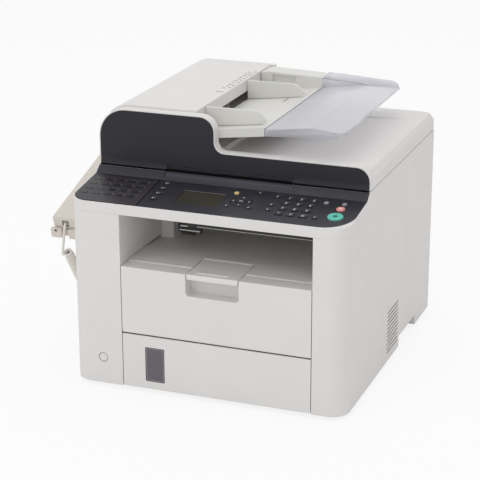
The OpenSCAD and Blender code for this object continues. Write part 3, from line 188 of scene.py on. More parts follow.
def metal(name, color, roughness=0.35, stretch=(1, 40, 40)):
    n = Nodes(name)
    n.tint(color, 0.05, 20)
    n.roughen(roughness, 0.1, 4)
    n.bump(n.noise(6, 4, stretch), 0.02)
    n.set(Metallic=1.0)
    return n.material


def clear(name, color, roughness, transmission, ior=1.2):
    n = Nodes(name)
    n.tint(color, 0.01, 50)
    n.roughen(roughness, 0.04, 20)
    n.bump(n.noise(0.6, 2), 0.01)
    n.set(Transmission_Weight=transmission, IOR=ior)
    return n.material


def board(name):
    """Circuit board: green mask with lighter tracks."""
    n = Nodes(name)
    voronoi = n.tree.nodes.new("ShaderNodeTexVoronoi")
    voronoi.feature = "DISTANCE_TO_EDGE"
    voronoi.inputs["Scale"].default_value = 250
    n.tree.links.new(n.coords, voronoi.inputs["Vector"])
    color = n.ramp(voronoi.outputs["Distance"], [(0.04, rgb("3F7A52")), (0.1, rgb("1D4F30"))])
    n.tree.links.new(color, n.shader.inputs["Base Color"])
    n.bump(voronoi.outputs["Distance"], 0.05)
    n.set(Roughness=0.35)
    return n.material


def foam(name):
    n = Nodes(name)
    n.tint(rgb("EDEDEA"), 0.02, 8)
    n.bump(n.noise(0.8, 4), 0.15)
    n.set(Roughness=0.85, Sheen_Weight=0.2)
    return n.material


WHITE = plastic("body_plastic", rgb("E8E6E4"), 0.48)
TRAY_WHITE = plastic("tray_plastic", rgb("E2E1DD"), 0.42)
BAY_GREY = plastic("bay_plastic", rgb("E2E0DE"), 0.55, grain_mm=0.7, grain_depth=0.04)
BLACK = plastic("black_plastic", rgb("27262D"), 0.42, specular=0.35)
PANEL = plastic("panel_plastic", rgb("2A2931"), 0.38, grain_mm=0.3, specular=0.4)
# Near-black for painted shade in gaps, seams, grooves and holes
GAP_SHADE = plastic("painted_gap_shade", rgb("0B0B0D"), 0.7, specular=0.1)
DARK = plastic("dark_plastic", rgb("3A393B"), 0.55, spread=0.05)
KEY = plastic("key_plastic", rgb("26252B"), 0.36, grain_mm=0.25, spread=0.03)
KEY_GREY = plastic("grey_key_plastic", rgb("8E8E96"), 0.4, grain_mm=0.25)
MARK = plastic("print_white", rgb("ECECEF"), 0.5, grain_mm=0.2, spread=0.03)
# Grey for the printed labels, and for the display's upper edge, where it is a painted highlight
GREY_PRINT_AND_HIGHLIGHT = plastic("grey_print_and_painted_highlight", rgb("7D7A78"), 0.6, grain_mm=0.2, spread=0.03)
START = plastic("start_plastic", rgb("66CBB8"), 0.35, grain_mm=0.25)
START_MARK = plastic("start_mark", rgb("146A5C"), 0.4, grain_mm=0.25)
STOP = plastic("stop_plastic", rgb("EDA097"), 0.35, grain_mm=0.25)
STOP_MARK = plastic("stop_mark", rgb("F6DAD4"), 0.4, grain_mm=0.25)
AMBER = plastic("amber_plastic", rgb("E2CC8C"), 0.35, grain_mm=0.25)
BEIGE = plastic("handset_plastic", rgb("DCD5CC"), 0.4, grain_mm=0.3)
CORD = plastic("cord_jacket", rgb("EAE6DF"), 0.45, grain_mm=0.3, grain_depth=0.03)
CLEAR = clear("clear_plastic", rgb("F1F0F5"), 0.2, 0.65)
# Darker clear plastic for the extension's edges: painted shade
CLEAR_EDGE_SHADE = clear("clear_edge_painted_shade", rgb("A9A6B2"), 0.3, 0.2)
TOUCH_KEY = plastic("one_touch_plastic", rgb("17161B"), 0.3, grain_mm=0.25, spread=0.03)
TOUCH_PLATE = plastic("one_touch_plate", rgb("2F2B31"), 0.42, grain_mm=0.3, spread=0.03)
LEDGE = plastic("ledge_plastic", rgb("34333B"), 0.4, grain_mm=0.3)
PRINT_DARK = plastic("print_dark", rgb("39393B"), 0.6, grain_mm=0.2, spread=0.03)
PLUG = clear("plug_plastic", rgb("E4E2D8"), 0.15, 0.5)
WINDOW = plastic("window_plastic", rgb("625F66"), 0.2, grain_mm=1.0, grain_depth=0.01, specular=0.6)
LCD = plastic("display_glass", rgb("3B392E"), 0.22, grain_mm=2, grain_depth=0.003, specular=0.6)
LED = plastic("lamp_window", rgb("16151A"), 0.15, grain_mm=2, grain_depth=0.003, specular=0.6)
GLASS = clear("flat_glass", rgb("E8F2EF"), 0.02, 0.95, 1.45)
# Dark for the bay's bracket, and as painted shade under the housing's edge over the bay
BAY_DARK = plastic("bay_dark_plastic_and_shade", rgb("2C2A29"), 0.5)
# The panel's dark grey made lighter for the shaded grip recess: painted light
GRIP_LIT_GREY = plastic("grip_painted_light", rgb("43424B"), 0.5, grain_mm=0.3)
RING_GREY = plastic("ring_grey", rgb("A5A3A2"), 0.5)
# Lighter grey for the rim inside the level window: painted highlight
WINDOW_HIGHLIGHT = plastic("window_painted_highlight", rgb("8A858C"), 0.25, grain_mm=1.0, grain_depth=0.01, specular=0.6)
STEEL = metal("zinc_steel", rgb("B4B5B8"))
RUBBER = plastic("black_rubber", rgb("1F1F20"), 0.75, grain_mm=0.6, grain_depth=0.05, specular=0.2)
BOARD = board("circuit_board")
FOAM = foam("pad_foam")


# ---------------- mesh helpers
def link(name, mesh, material):
    obj = bpy.data.objects.new(name, mesh)
    bpy.context.collection.objects.link(obj)
    mesh.materials.clear()
    mesh.materials.append(material)
    return obj


def smooth_all(mesh):
    mesh.polygons.foreach_set("use_smooth", [True] * len(mesh.polygons))


def even_normals(obj):
    """Shades big faces flat and the narrow ones between them round."""
    normals = obj.modifiers.new("normals", "WEIGHTED_NORMAL")
    normals.keep_sharp = True


def bevelled(obj, width_mm, segments=3, angle=32):
    bevel = obj.modifiers.new("edges", "BEVEL")
    bevel.width = width_mm * MM
    bevel.segments = segments
    bevel.limit_method = "ANGLE"
    bevel.angle_limit = math.radians(angle)
    bevel.use_clamp_overlap = False
    even_normals(obj)
    return obj


def piece(name, bm, material, body, bevel=0.0, segments=3, replaces=(), slot=None, plate=False):
    """Object from a bmesh in body millimetres, riding on a body."""
    bm.transform(TO_ROW)
    bmesh.ops.recalc_face_normals(bm, faces=bm.faces)
    mesh = bpy.data.meshes.new(name)
    bm.to_mesh(mesh)
    bm.free()
    if not plate:
        smooth_all(mesh)
    obj = link(name, mesh, material)
    if bevel:
        bevelled(obj, bevel, segments)
    elif not plate:
        mesh.set_sharp_from_angle(angle=math.radians(50))
        even_normals(obj)
    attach(obj, body)
    if replaces:
        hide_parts(*replaces)
        slot = slot or SLOT_OF[replaces[0]]
    return obj


BODY_OF = {node: body for body, nodes in frame["record"]["behaviour"]["bodies"].items() for node in nodes}
SLOT_OF = {part["node"]: part["material_slot"] for part in frame["record"]["subparts"]}


def casing(node, material, bevel=0.7, segments=3, holed=False):
    """A shell with the CAD node's form, flat faces joined and its edges rounded.

    Big faces round a large hole are cut into triangles, or they fill over when their edges move."""
    bm = bmesh.new()
    bm.from_mesh(frame["nodes"][node].data)
    bmesh.ops.remove_doubles(bm, verts=bm.verts, dist=0.000004)
    bmesh.ops.dissolve_limit(bm, angle_limit=math.radians(0.4), verts=bm.verts, edges=bm.edges)
    if holed:
        bmesh.ops.triangulate(bm, faces=[f for f in bm.faces if len(f.verts) > 4])
    mesh = bpy.data.meshes.new(node + "_shell")
    bm.to_mesh(mesh)
    bm.free()
    smooth_all(mesh)
    obj = link(node + "_shell", mesh, material)
    bevelled(obj, bevel, segments)
    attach(obj, BODY_OF[node])
    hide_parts(node)
    return obj


def paint(node, material):
    """A CAD node that keeps its own mesh and gets a better finish."""
    obj = frame["nodes"][node]
    if not obj.material_slots:
        obj.data.materials.append(material)
    for material_slot in obj.material_slots:
        material_slot.material = material


def round_rect(w, l, r, steps=6):
    """Outline of a rectangle with round corners, about its centre."""
    points = []
    for cx, cy, start in ((w / 2 - r, l / 2 - r, 0), (r - w / 2, l / 2 - r, 90),
                          (r - w / 2, r - l / 2, 180), (w / 2 - r, r - l / 2, 270)):
        for i in range(steps + 1):
            a = math.radians(start + 90 * i / steps)
            points.append((cx + r * math.cos(a), cy + r * math.sin(a)))
    return points


def loft(bm, rings, close_first=True, close_last=True):
    """Skin over closed rings of points with the same count."""
    made = [[bm.verts.new(p) for p in ring] for ring in rings]
    count = len(made[0])
    for low, high in zip(made, made[1:]):
        for i in range(count):
            bm.faces.new((low[i], low[(i + 1) % count], high[(i + 1) % count], high[i]))
    if close_first:
        bm.faces.new(made[0][::-1])
    if close_last:
        bm.faces.new(made[-1])
    return made


def box(bm, low, high, matrix=Matrix.Identity(4)):
    made = bmesh.ops.create_cube(bm, size=1)["verts"]
    size = Vector(high) - Vector(low)
    centre = (Vector(high) + Vector(low)) / 2
    place = matrix @ Matrix.Translation(centre) @ Matrix.Diagonal((*size, 1))
    bmesh.ops.transform(bm, matrix=place, verts=made)


def boxes(name, material, body, corners, bevel=0.0):
    """One piece made of boxes, each given by two opposite corners."""
    bm = bmesh.new()
    for low, high in corners:
        box(bm, low, high)
    piece(name, bm, material, body, bevel)


def circle(r, z, steps):
    """Points of a circle about the z axis."""
    turns = [2 * math.pi * k / steps for k in range(steps)]
    return [Vector((r * math.cos(a), r * math.sin(a), z)) for a in turns]


def arc(cx, cy, r, start, stop, steps=10):
    """Points along an arc between two angles in degrees."""
    turns = [math.radians(start + (stop - start) * i / steps) for i in range(steps + 1)]
    return [(cx + r * math.cos(a), cy + r * math.sin(a)) for a in turns]


def taken(obj):
    """bmesh of an object's final mesh; the object is deleted."""
    bpy.context.view_layer.update()
    mesh = bpy.data.meshes.new_from_object(obj.evaluated_get(bpy.context.evaluated_depsgraph_get()))
    bm = bmesh.new()
    bm.from_mesh(mesh)
    data = obj.data
    bpy.data.objects.remove(obj)
    bpy.data.meshes.remove(mesh)
    (bpy.data.meshes if isinstance(data, bpy.types.Mesh) else bpy.data.curves).remove(data)
    return bm


def flat_plate(outline, holes, thickness, edge):
    """Plate with holes and round edges, in its own plane, its top at z 0."""
    curve = bpy.data.curves.new("plate", "CURVE")
    curve.dimensions = "2D"
    curve.fill_mode = "BOTH"
    for ring in [outline] + holes:
        line = curve.splines.new("POLY")
        line.points.add(len(ring) - 1)
        for point, (x, y) in zip(line.points, ring):
            point.co = (x, y, 0, 1)
        line.use_cyclic_u = True
    curve.extrude = thickness / 2 - edge
    curve.bevel_depth = edge
    curve.bevel_resolution = 1
    curve.offset = -edge
    obj = bpy.data.objects.new("plate", curve)
    bpy.context.collection.objects.link(obj)
    bm = taken(obj)
    bmesh.ops.remove_doubles(bm, verts=bm.verts, dist=0.002)
    bmesh.ops.translate(bm, verts=bm.verts, vec=(0, 0, -thickness / 2))
    for face in bm.faces:
        face.normal_update()
        face.smooth = abs(face.normal.z) < 0.999
    return bm


def joined(bm, other, matrix=Matrix.Identity(4)):
    """Adds another bmesh to the first one."""
    other.transform(matrix)
    mesh = bpy.data.meshes.new("joined")
    other.to_mesh(mesh)
    other.free()
    bm.from_mesh(mesh)
    bpy.data.meshes.remove(mesh)
    return bm


def carved(bm, cutter):
    """The first bmesh with the second one cut out of it."""
    objects = []
    for source in (bm, cutter):
        bmesh.ops.recalc_face_normals(source, faces=source.faces)
        mesh = bpy.data.meshes.new("cut")
        source.to_mesh(mesh)
        source.free()
        obj = bpy.data.objects.new("cut", mesh)
        bpy.context.collection.objects.link(obj)
        objects.append(obj)
    body, tool = objects
    cut = body.modifiers.new("cut", "BOOLEAN")
    cut.operation = "DIFFERENCE"
    cut.solver = "EXACT"
    cut.object = tool
    result = taken(body)
    data = tool.data
    bpy.data.objects.remove(tool)
    bpy.data.meshes.remove(data)
    return result


def lettering(bm, text, size, matrix, depth=0.08):
    """Adds a plain figure, centred, its face at z depth."""
    curve = bpy.data.curves.new("figure", "FONT")
    curve.body = text
    curve.size = size
    curve.align_x = "CENTER"
    curve.align_y = "CENTER"
    curve.extrude = depth
    curve.resolution_u = 2
    obj = bpy.data.objects.new("figure", curve)
    bpy.context.collection.objects.link(obj)
    figure = taken(obj)
    bmesh.ops.remove_doubles(figure, verts=figure.verts, dist=0.0005)
    return joined(bm, figure, matrix)


# ---------------- handset cord
CORD_D = 3.6
CURL_D = 14.0
TAIL_POINTS = [(-40, 70.1, 197.3), (-40, 68.9, 196.9), (-40, 67.2, 195.1), (-40.2, 66.4, 191.9),
               (-41, 66, 183), (-41.8, 65.6, 174), (-42.8, 65.2, 166)]
CURL_POINTS = [(-38.6, 72, 156.5), (-39, 77, 149.5), (-39.5, 84, 140), (-40, 91, 130.5), (-40, 98, 120.5),
               (-39, 106, 107.5), (-37, 115, 93.5), (-34, 127, 77), (-30, 141, 64), (-26, 157, 57.5),
               (-21, 171, 59.5), (-16, 183, 67), (-12, 192, 77.7)]
END_POINTS = [(-7, 203, 92.5), (-4.5, 204.6, 93.6), (-2, 205, 93.7)]
TURN_STEPS = 18
CONE_TURNS = 3
START_TURN = math.pi


def spline(points, step):
    """Catmull-Rom curve through the points, sampled about every step."""
    pts = [Vector(p) for p in points]
    out = []
    for i in range(len(pts) - 1):
        p0 = pts[max(i - 1, 0)]
        p1 = pts[i]
        p2 = pts[i + 1]
        p3 = pts[min(i + 2, len(pts) - 1)]
        count = max(2, math.ceil((p2 - p1).length / step))
        for k in range(count):
            t = k / count
            out.append(0.5 * (2 * p1 + (p2 - p0) * t + (2 * p0 - 5 * p1 + 4 * p2 - p3) * t * t
                              + (3 * p1 - p0 - 3 * p2 + p3) * t ** 3))
    out.append(pts[-1])
    return out


def carried_frames(points):
    """Tangent and two square directions at each point, carried along without twist."""
    frames = []
    side = Vector((1, 0, 0))
    for i, p in enumerate(points):
        tangent = (points[min(i + 1, len(points) - 1)] - points[max(i - 1, 0)]).normalized()
        side = (side - tangent * side.dot(tangent)).normalized()
        frames.append((p, side, tangent.cross(side)))
    return frames


def helix():
    """Centreline of the curl: a helix round its axis, narrower at both ends."""
    axis = carried_frames(spline(CURL_POINTS, 0.25))
    lengths = [0.0]
    for (a, _, _), (b, _, _) in zip(axis, axis[1:]):
        lengths.append(lengths[-1] + (b - a).length)
    total = lengths[-1]
    turns = int(total / (CORD_D * 1.02))
    radius = (CURL_D - CORD_D) / 2
    out = []
    j = 0
    for i in range(turns * TURN_STEPS + 1):
        s = total * i / (turns * TURN_STEPS)
        while j < len(lengths) - 2 and lengths[j + 1] < s:
            j += 1
        p, u, v = axis[j]
        q = axis[j + 1][0]
        centre = p.lerp(q, (s - lengths[j]) / (lengths[j + 1] - lengths[j]))
        ends = min(i, turns * TURN_STEPS - i) / TURN_STEPS
        r = radius * (0.72 + 0.28 * min(1, ends / CONE_TURNS))
        a = 2 * math.pi * i / TURN_STEPS + START_TURN
        out.append(centre + (u * math.cos(a) + v * math.sin(a)) * r)
    return out


def cord_path():
    """Centreline of the whole cord, its straight ends running smoothly into the curl."""
    curl = helix()
    lead_in = (curl[1] - curl[0]).normalized() * 7
    lead_out = (curl[-1] - curl[-2]).normalized() * 7
    tail = spline(TAIL_POINTS + [curl[0] - lead_in, curl[0], curl[1]], 1.2)
    end = spline([curl[-2], curl[-1], curl[-1] + lead_out] + END_POINTS, 1.2)
    first = min(range(len(tail)), key=lambda i: (tail[i] - curl[0]).length)
    last = min(range(len(end)), key=lambda i: (end[i] - curl[-1]).length)
    return tail[:first] + curl + end[last + 1:]


def tube(bm, points, radius, sides):
    turns = [2 * math.pi * k / sides for k in range(sides)]
    loft(bm, [[p + (u * math.cos(a) + v * math.sin(a)) * radius for a in turns]
              for p, u, v in carried_frames(points)])


def make_cord():
    points = cord_path()
    bm = bmesh.new()
    tube(bm, points, CORD_D / 2, 10)
    bm.transform(TO_ROW)
    bmesh.ops.recalc_face_normals(bm, faces=bm.faces)
    mesh = bpy.data.meshes.new("handset_cord")
    bm.to_mesh(mesh)
    bm.free()
    smooth_all(mesh)
    obj = link("handset_cord", mesh, CORD)
    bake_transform(obj)
    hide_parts("cord_tail", "cord_curl", "cord_end")


make_cord()
paint("handset_plug", PLUG)
paint("socket_plug", PLUG)

# ---------------- shells that keep the CAD form
for shell, finish, edge in (
        ("left_cover", WHITE, 0.5), ("right_cover", WHITE, 0.5), ("rear_panel", WHITE, 0.5),
        ("paper_stop", WHITE, 0.5), ("cassette_tray", WHITE, 0.5), ("rear_cover", WHITE, 0.5),
        ("power_button", WHITE, 0.5), ("cassette_window", WINDOW, 0.4), ("base_frame", DARK, 0.5),
        ("toner_cartridge", DARK, 0.5), ("laser_unit", DARK, 0.5), ("fuser_frame", DARK, 0.5),
        ("rear_sockets", DARK, 0.4), ("rubber_feet", RUBBER, 0.6), ("feeder_cover", WHITE, 1.2),
        ("document_tray", TRAY_WHITE, 0.5), ("output_tray", BAY_GREY, 0.5), ("handset_cradle", BEIGE, 0.9)):
    casing(shell, finish, edge)
for shell, finish, edge in (
        ("scanner_housing", WHITE, 0.35), ("front_cover", WHITE, 0.5), ("platen_cover", WHITE, 0.7),
        ("document_guide_front", TRAY_WHITE, 0.8), ("document_guide_rear", TRAY_WHITE, 0.8)):
    casing(shell, finish, edge, holed=True)

for node, finish in (
        ("side_plates", STEEL), ("scanner_glass", GLASS), ("lcd_window", LCD), ("circuit_boards", BOARD),
        ("power_supply", BOARD), ("fan_frame", DARK), ("fan_rotor", DARK), ("drive_motor", STEEL),
        ("cover_screws", STEEL), ("lift_plate", STEEL), ("cassette_guide_left", DARK),
        ("cassette_guide_right", DARK), ("platen_pad", FOAM), ("guide_pinion", DARK), ("hook_switch", DARK),
        ("scan_carriage", DARK), ("fuser_roller", STEEL), ("pressure_roller", RUBBER),
        ("pickup_roller", RUBBER), ("feed_roller", RUBBER), ("exit_roller", RUBBER),
        ("handset_socket", DARK)):
    paint(node, finish)

# ---------------- keys
KEY_H = 7.0
KEY_GAP = 0.35
KEY_PROUD = 1.2
ROUND_KEY_PROUD = 1.6
MARK_LIFT = 0.02
MARK_T = 0.12
NUMBER_AT = (BODY_W - 101.7, 26.1)
NUMBER_PITCH = (16.6, 15.3)
TOUCH_PITCH_X = 17.0
KEY_SIZE = (11.5, 8.2)
TOUCH_SIZE = (9.0, 6.0)
MENU_D = 6.8
NAV_AT = (229.0, 48.5)
NAV_D = 29.0
STOP_AT, STOP_D = (BODY_W - 27.5, 57.4), 11.5
START_AT, START_D = (BODY_W - 27.6, 34.6), 21.0
number_keys = [(NUMBER_AT[0] + c * NUMBER_PITCH[0], NUMBER_AT[1] + r * NUMBER_PITCH[1])
               for c in range(3) for r in range(4)]
touch_keys = [(13 + c * TOUCH_PITCH_X, NUMBER_AT[1] + r * NUMBER_PITCH[1] * 0.95)
              for c in range(5) for r in range(4)]
function_keys = [(112, NUMBER_AT[1] + 3 + r * NUMBER_PITCH[1] * 1.03) for r in range(4)]
AMBER_AT = (NAV_AT[0] - 14.8, NAV_AT[1] + 23)
GREY_AT = [(BODY_W - 51.3, 71.2), (BODY_W - 26.9, 72.3)]
menu_keys = [(NAV_AT[0] + dx, NAV_AT[1] + dy) for dx, dy in
             ((-14.5, -17), (16, -16), (16, 30), (42, 25), (42, 0), (42, -15))]
menu_keys.append((NUMBER_AT[0] + 49.2, NUMBER_AT[1]))


def cap(bm, place, size, proud=KEY_PROUD, edge=0.7):
    """One key cap with a softly rounded top."""
    w, l = size
    rings = []
    for inset, z in ((0, proud - KEY_H), (0, proud - edge), (0.12 * edge, proud - 0.45 * edge),
                     (0.45 * edge, proud - 0.12 * edge), (edge, proud)):
        corner = min(w, l) / 2 - inset - 0.02
        rings.append([on_panel(*place) @ Vector((x, y, z))
                      for x, y in round_rect(w - 2 * inset, l - 2 * inset, corner)])
    loft(bm, rings)


def caps(name, node, material, places, size, replaces=True, **options):
    bm = bmesh.new()
    for place in places:
        cap(bm, place, size, **options)
    piece(name, bm, material, BODY_OF[node], replaces=(node,) if replaces else (), slot=SLOT_OF[node])


def plates(name, body, material, marks):
    """Thin flat marks on the panel, printed ones and one painted highlight: boxes, each (x, y, lift, width,
    length, turn).
    """
    bm = bmesh.new()
    for x, y, lift, w, l, turn in marks:
        place = on_panel(x, y, lift) @ Matrix.Rotation(math.radians(turn), 4, "Z")
        box(bm, (-w / 2, -l / 2, -MARK_T / 2), (w / 2, l / 2, MARK_T / 2), place)
    piece(name, bm, material, body)


caps("number_caps", "number_keys", KEY, number_keys, KEY_SIZE)
caps("one_touch_caps", "one_touch_keys", TOUCH_KEY, touch_keys, TOUCH_SIZE, proud=KEY_PROUD - 0.4, edge=0.5)
caps("function_caps", "function_keys", KEY, function_keys, TOUCH_SIZE)
caps("menu_caps", "menu_keys", KEY, menu_keys, (MENU_D, MENU_D))
caps("amber_cap", "menu_keys", AMBER, [AMBER_AT], (MENU_D, MENU_D), replaces=False)
caps("grey_caps", "menu_keys", KEY_GREY, GREY_AT, (MENU_D, MENU_D), replaces=False)
caps("start_cap", "start_key", START, [START_AT], (START_D, START_D), proud=ROUND_KEY_PROUD, edge=1.2)
caps("stop_cap", "stop_key", STOP, [STOP_AT], (STOP_D, STOP_D), proud=ROUND_KEY_PROUD, edge=1.0)


def turned(name, body, material, place, profile, steps=40, slot=None):
    """Ring or disc from a profile of (radius, height) turned about the panel's normal."""
    bm = bmesh.new()
    loft(bm, [[place @ p for p in circle(r, z, steps)] for r, z in profile])
    piece(name, bm, material, body, slot=slot)


turned("nav_cap", "menu_keys", KEY, on_panel(*NAV_AT),
       [(14.5, KEY_PROUD - KEY_H), (14.5, 0.2), (14.2, 0.7), (13.5, 0.9), (7.4, 0.55), (6.6, 0.4),
        (6.4, -0.3), (6.0, -0.3), (5.8, 0.9), (5.4, 1.15), (4.6, 1.2)])

figures = bmesh.new()
for (x, y), text in zip(number_keys, ("*", "7", "4", "1", "0", "8", "5", "2", "#", "9", "6", "3")):
    lettering(figures, text, 6.4, on_panel(x, y, KEY_PROUD))
piece("number_figures", figures, MARK, "number_keys")

menu_top = KEY_PROUD + MARK_LIFT
round_top = ROUND_KEY_PROUD + MARK_LIFT
arrows = []
for dx, dy, turn in ((0, 11.2, 0), (-11, 0, 90), (11, 0.6, 90), (0, -11.2, 0)):
    for step in range(3):
        w = 2.7 - 0.9 * step
        sign = 1 if dx + dy > 0 else -1
        off = (0, sign * 0.45 * (step - 1)) if turn == 0 else (sign * 0.45 * (step - 1), 0)
        arrows.append((NAV_AT[0] + dx + off[0], NAV_AT[1] + dy + off[1], 0.78, w, 0.5, turn))
arrows.append((NAV_AT[0] - 1.2, NAV_AT[1], menu_top, 1.6, 2.2, 0))
arrows.append((NAV_AT[0] + 1.4, NAV_AT[1], menu_top, 1.2, 2.2, 0))
plates("nav_marks", "menu_keys", MARK, arrows)

symbols = []
for x, y in menu_keys:
    symbols.append((x, y, menu_top, 2.6, 0.6, 0))
    symbols.append((x, y - 1.1, menu_top, 1.6, 0.6, 0))
for x, y in GREY_AT:
    symbols.append((x, y, menu_top, 2.4, 0.7, 45))
plates("menu_marks", "menu_keys", MARK, symbols)

symbols = []
for k, (x, y) in enumerate(function_keys):
    symbols.append((x - 1.0, y, menu_top, 2.0, 1.9 if k % 2 else 1.3, 45 * (k % 3 == 1)))
    symbols.append((x + 1.9, y, menu_top, 1.7, 0.7, 0))
plates("function_marks", "function_keys", MARK, symbols)

plates("start_mark", "start_key", START_MARK,
       [(START_AT[0], START_AT[1] - 0.5, round_top, 5.6, 5.6, 45),
        (START_AT[0], START_AT[1] + 6.4, round_top, 2.6, 1.2, 0)])
plates("stop_mark", "stop_key", STOP_MARK, [(STOP_AT[0], STOP_AT[1], round_top, 3.4, 3.4, 45)])

# ---------------- operation panel
SLOPE_LENGTH = 1 / math.cos(PANEL_TILT)
PANEL_LEFT = 1.2
PANEL_RIGHT = BODY_W - 1.2
PANEL_Y0 = 2.0
PANEL_T = 4.0
PANEL_EDGE = 0.5
PANEL_CORNERS = (23.8, 40.0)
LAMPS_X = (221.3, 238.7)
LAMPS_Y = 6.4
LCD_AT = (142.0, 24.2)
LCD_SIZE = (61.0, 39.5)
TOUCH_PLATE_X1 = 98.0
TOUCH_PLATE_Y1 = 84
GRIP = (100.0, 283.0)
GRIP_H = 8.0
GRIP_CORNER = 4


def on_slope(ring):
    """An outline seen from above, as it lies in the panel's own plane."""
    return [(x, y * SLOPE_LENGTH) for x, y in ring]


def key_hole(place, size):
    """Outline of the hole round a key, in the panel's own plane."""
    w, l = size[0] + 2 * KEY_GAP, size[1] + 2 * KEY_GAP
    corner = min(w, l) / 2 - 0.02
    return [(place[0] + x, place[1] * SLOPE_LENGTH + y) for x, y in round_rect(w, l, corner)][::-1]


def panel_outline(y1):
    """Outline of the panel from above, up to a depth."""
    left, right = PANEL_CORNERS
    ring = [(PANEL_LEFT, y1)]
    ring += arc(PANEL_LEFT + left, PANEL_Y0 + left, left, 180, 270)
    ring += arc(PANEL_RIGHT - right, PANEL_Y0 + right, right, 270, 360, 14)
    ring.append((PANEL_RIGHT, y1))
    return on_slope(ring)


holes = [key_hole(p, KEY_SIZE) for p in number_keys]
holes += [key_hole(p, TOUCH_SIZE) for p in touch_keys + function_keys]
holes += [key_hole(p, (MENU_D, MENU_D)) for p in menu_keys + GREY_AT + [AMBER_AT]]
holes += [key_hole(place, (d, d)) for place, d in ((NAV_AT, NAV_D), (STOP_AT, STOP_D), (START_AT, START_D))]
lcd_x0, lcd_y0 = LCD_AT
lcd_x1, lcd_y1 = lcd_x0 + LCD_SIZE[0], lcd_y0 + LCD_SIZE[1] / SLOPE_LENGTH
holes.append(on_slope([(lcd_x0, lcd_y0), (lcd_x0, lcd_y1), (lcd_x1, lcd_y1), (lcd_x1, lcd_y0)]))
plate = flat_plate(panel_outline(PANEL_KNEE), holes, PANEL_T, PANEL_EDGE)
plate.transform(on_panel(0, 0))
piece("panel_plate", plate, PANEL, "chassis", replaces=("operation_panel",), plate=True)

# One-touch area: a raised lighter plate with a groove on its right, the grooves drawn as black strips of
# painted shade
corner = PANEL_CORNERS[0]
ring = [(PANEL_LEFT + 1, TOUCH_PLATE_Y1)] + arc(PANEL_LEFT + corner, PANEL_Y0 + corner, 22.6, 180, 270)
ring += [(TOUCH_PLATE_X1 - 1, 3.2), (TOUCH_PLATE_X1 - 1, TOUCH_PLATE_Y1)]
plate = flat_plate(on_slope(ring), [key_hole(p, TOUCH_SIZE) for p in touch_keys], 0.5, 0.15)
plate.transform(on_panel(0, 0, 0.42))
piece("touch_plate", plate, TOUCH_PLATE, "chassis", plate=True)
groove_shade = bmesh.new()
for x0, y0, x1, y1 in ((TOUCH_PLATE_X1 - 0.6, 3.4, TOUCH_PLATE_X1 + 0.6, 85),
                       (PANEL_LEFT + 1, 84.5, TOUCH_PLATE_X1, 85.6)):
    box(groove_shade, (x0, y0 * SLOPE_LENGTH, -0.1), (x1, y1 * SLOPE_LENGTH, 0.12), on_panel(0, 0))
piece("panel_groove_shade", groove_shade, GAP_SHADE, "chassis")

# Printed ticks beside the keys
labels = []
for x, y in number_keys:
    labels.append((x + 0.6, y + 6.1, 0, 5.6, 0.8, 0))
for x, y in function_keys:
    labels.append((x, y + 5.2, 0, 7.0, 0.7, 0))
for k, (x, y) in enumerate(menu_keys + GREY_AT + [AMBER_AT]):
    labels.append((x, y + 5.2, 0, 6.0 if k % 2 else 4.6, 0.7, 0))
labels.append((STOP_AT[0], STOP_AT[1] + 7.6, 0, 5.6, 0.8, 0))
labels.append((START_AT[0], START_AT[1] + 12.2, 0, 6.4, 0.8, 0))
plates("panel_labels", "chassis", GREY_PRINT_AND_HIGHLIGHT, labels)
labels = []
for k, (x, y) in enumerate(touch_keys):
    labels.append((x + 5.9, y + 4.0, 0.45, 1.9, 1.5, 0))
    if k % 3 == 0:
        labels.append((x - 1, y + 5.0, 0.45, 3.4, 0.6, 0))
plates("touch_labels", "chassis", GREY_PRINT_AND_HIGHLIGHT, labels)

# Display: bezel with a painted highlight along its upper edge, and the two lamp windows in front
bezel_rings = [[(x + lcd_x0 + LCD_SIZE[0] / 2, y + lcd_y0 * SLOPE_LENGTH + LCD_SIZE[1] / 2)
                for x, y in round_rect(LCD_SIZE[0] + dw, LCD_SIZE[1] + dl, r)]
               for dw, dl, r in ((6, 5, 3), (-1.4, -1.4, 1))]
bezel = flat_plate(bezel_rings[0], [bezel_rings[1][::-1]], 0.6, 0.25)
bezel.transform(on_panel(0, 0, 0.35))
piece("display_bezel", bezel, PANEL, "chassis", plate=True)
# A grey strip along the display's upper edge: painted highlight
plates("display_painted_highlight", "chassis", GREY_PRINT_AND_HIGHLIGHT,
       [(lcd_x0 + LCD_SIZE[0] / 2, lcd_y1 - 0.2, 0.36, LCD_SIZE[0] - 1, 0.9, 0)])
plates("lamp_windows", "chassis", LED, [(x, LAMPS_Y, MARK_LIFT, 15.0, 3.4, 0) for x in LAMPS_X])
plates("lamp_frames", "chassis", LEDGE, [(x, LAMPS_Y, -MARK_LIFT, 16.2, 4.4, 0) for x in LAMPS_X])

# Top strip behind the keys, cut away behind the finger grip
strip_z = (panel_z(PANEL_KNEE), SCANNER_TOP - 0.6)
strip_rise = (strip_z[1] - strip_z[0]) / (PANEL_D - PANEL_KNEE)


def strip(bm, x0, x1, y0, y1, drop, depth=3.4):
    """Sloping bar of the top strip between two depths, sunk by drop."""
    z0 = strip_z[0] + strip_rise * (y0 - PANEL_KNEE) - drop
    z1 = strip_z[0] + strip_rise * (y1 - PANEL_KNEE) - drop
    section = [(y0, z0 - depth), (y1, z1 - depth), (y1, z1), (y0, z0)]
    loft(bm, [[Vector((x, y, z)) for y, z in section] for x in (x0, x1)])


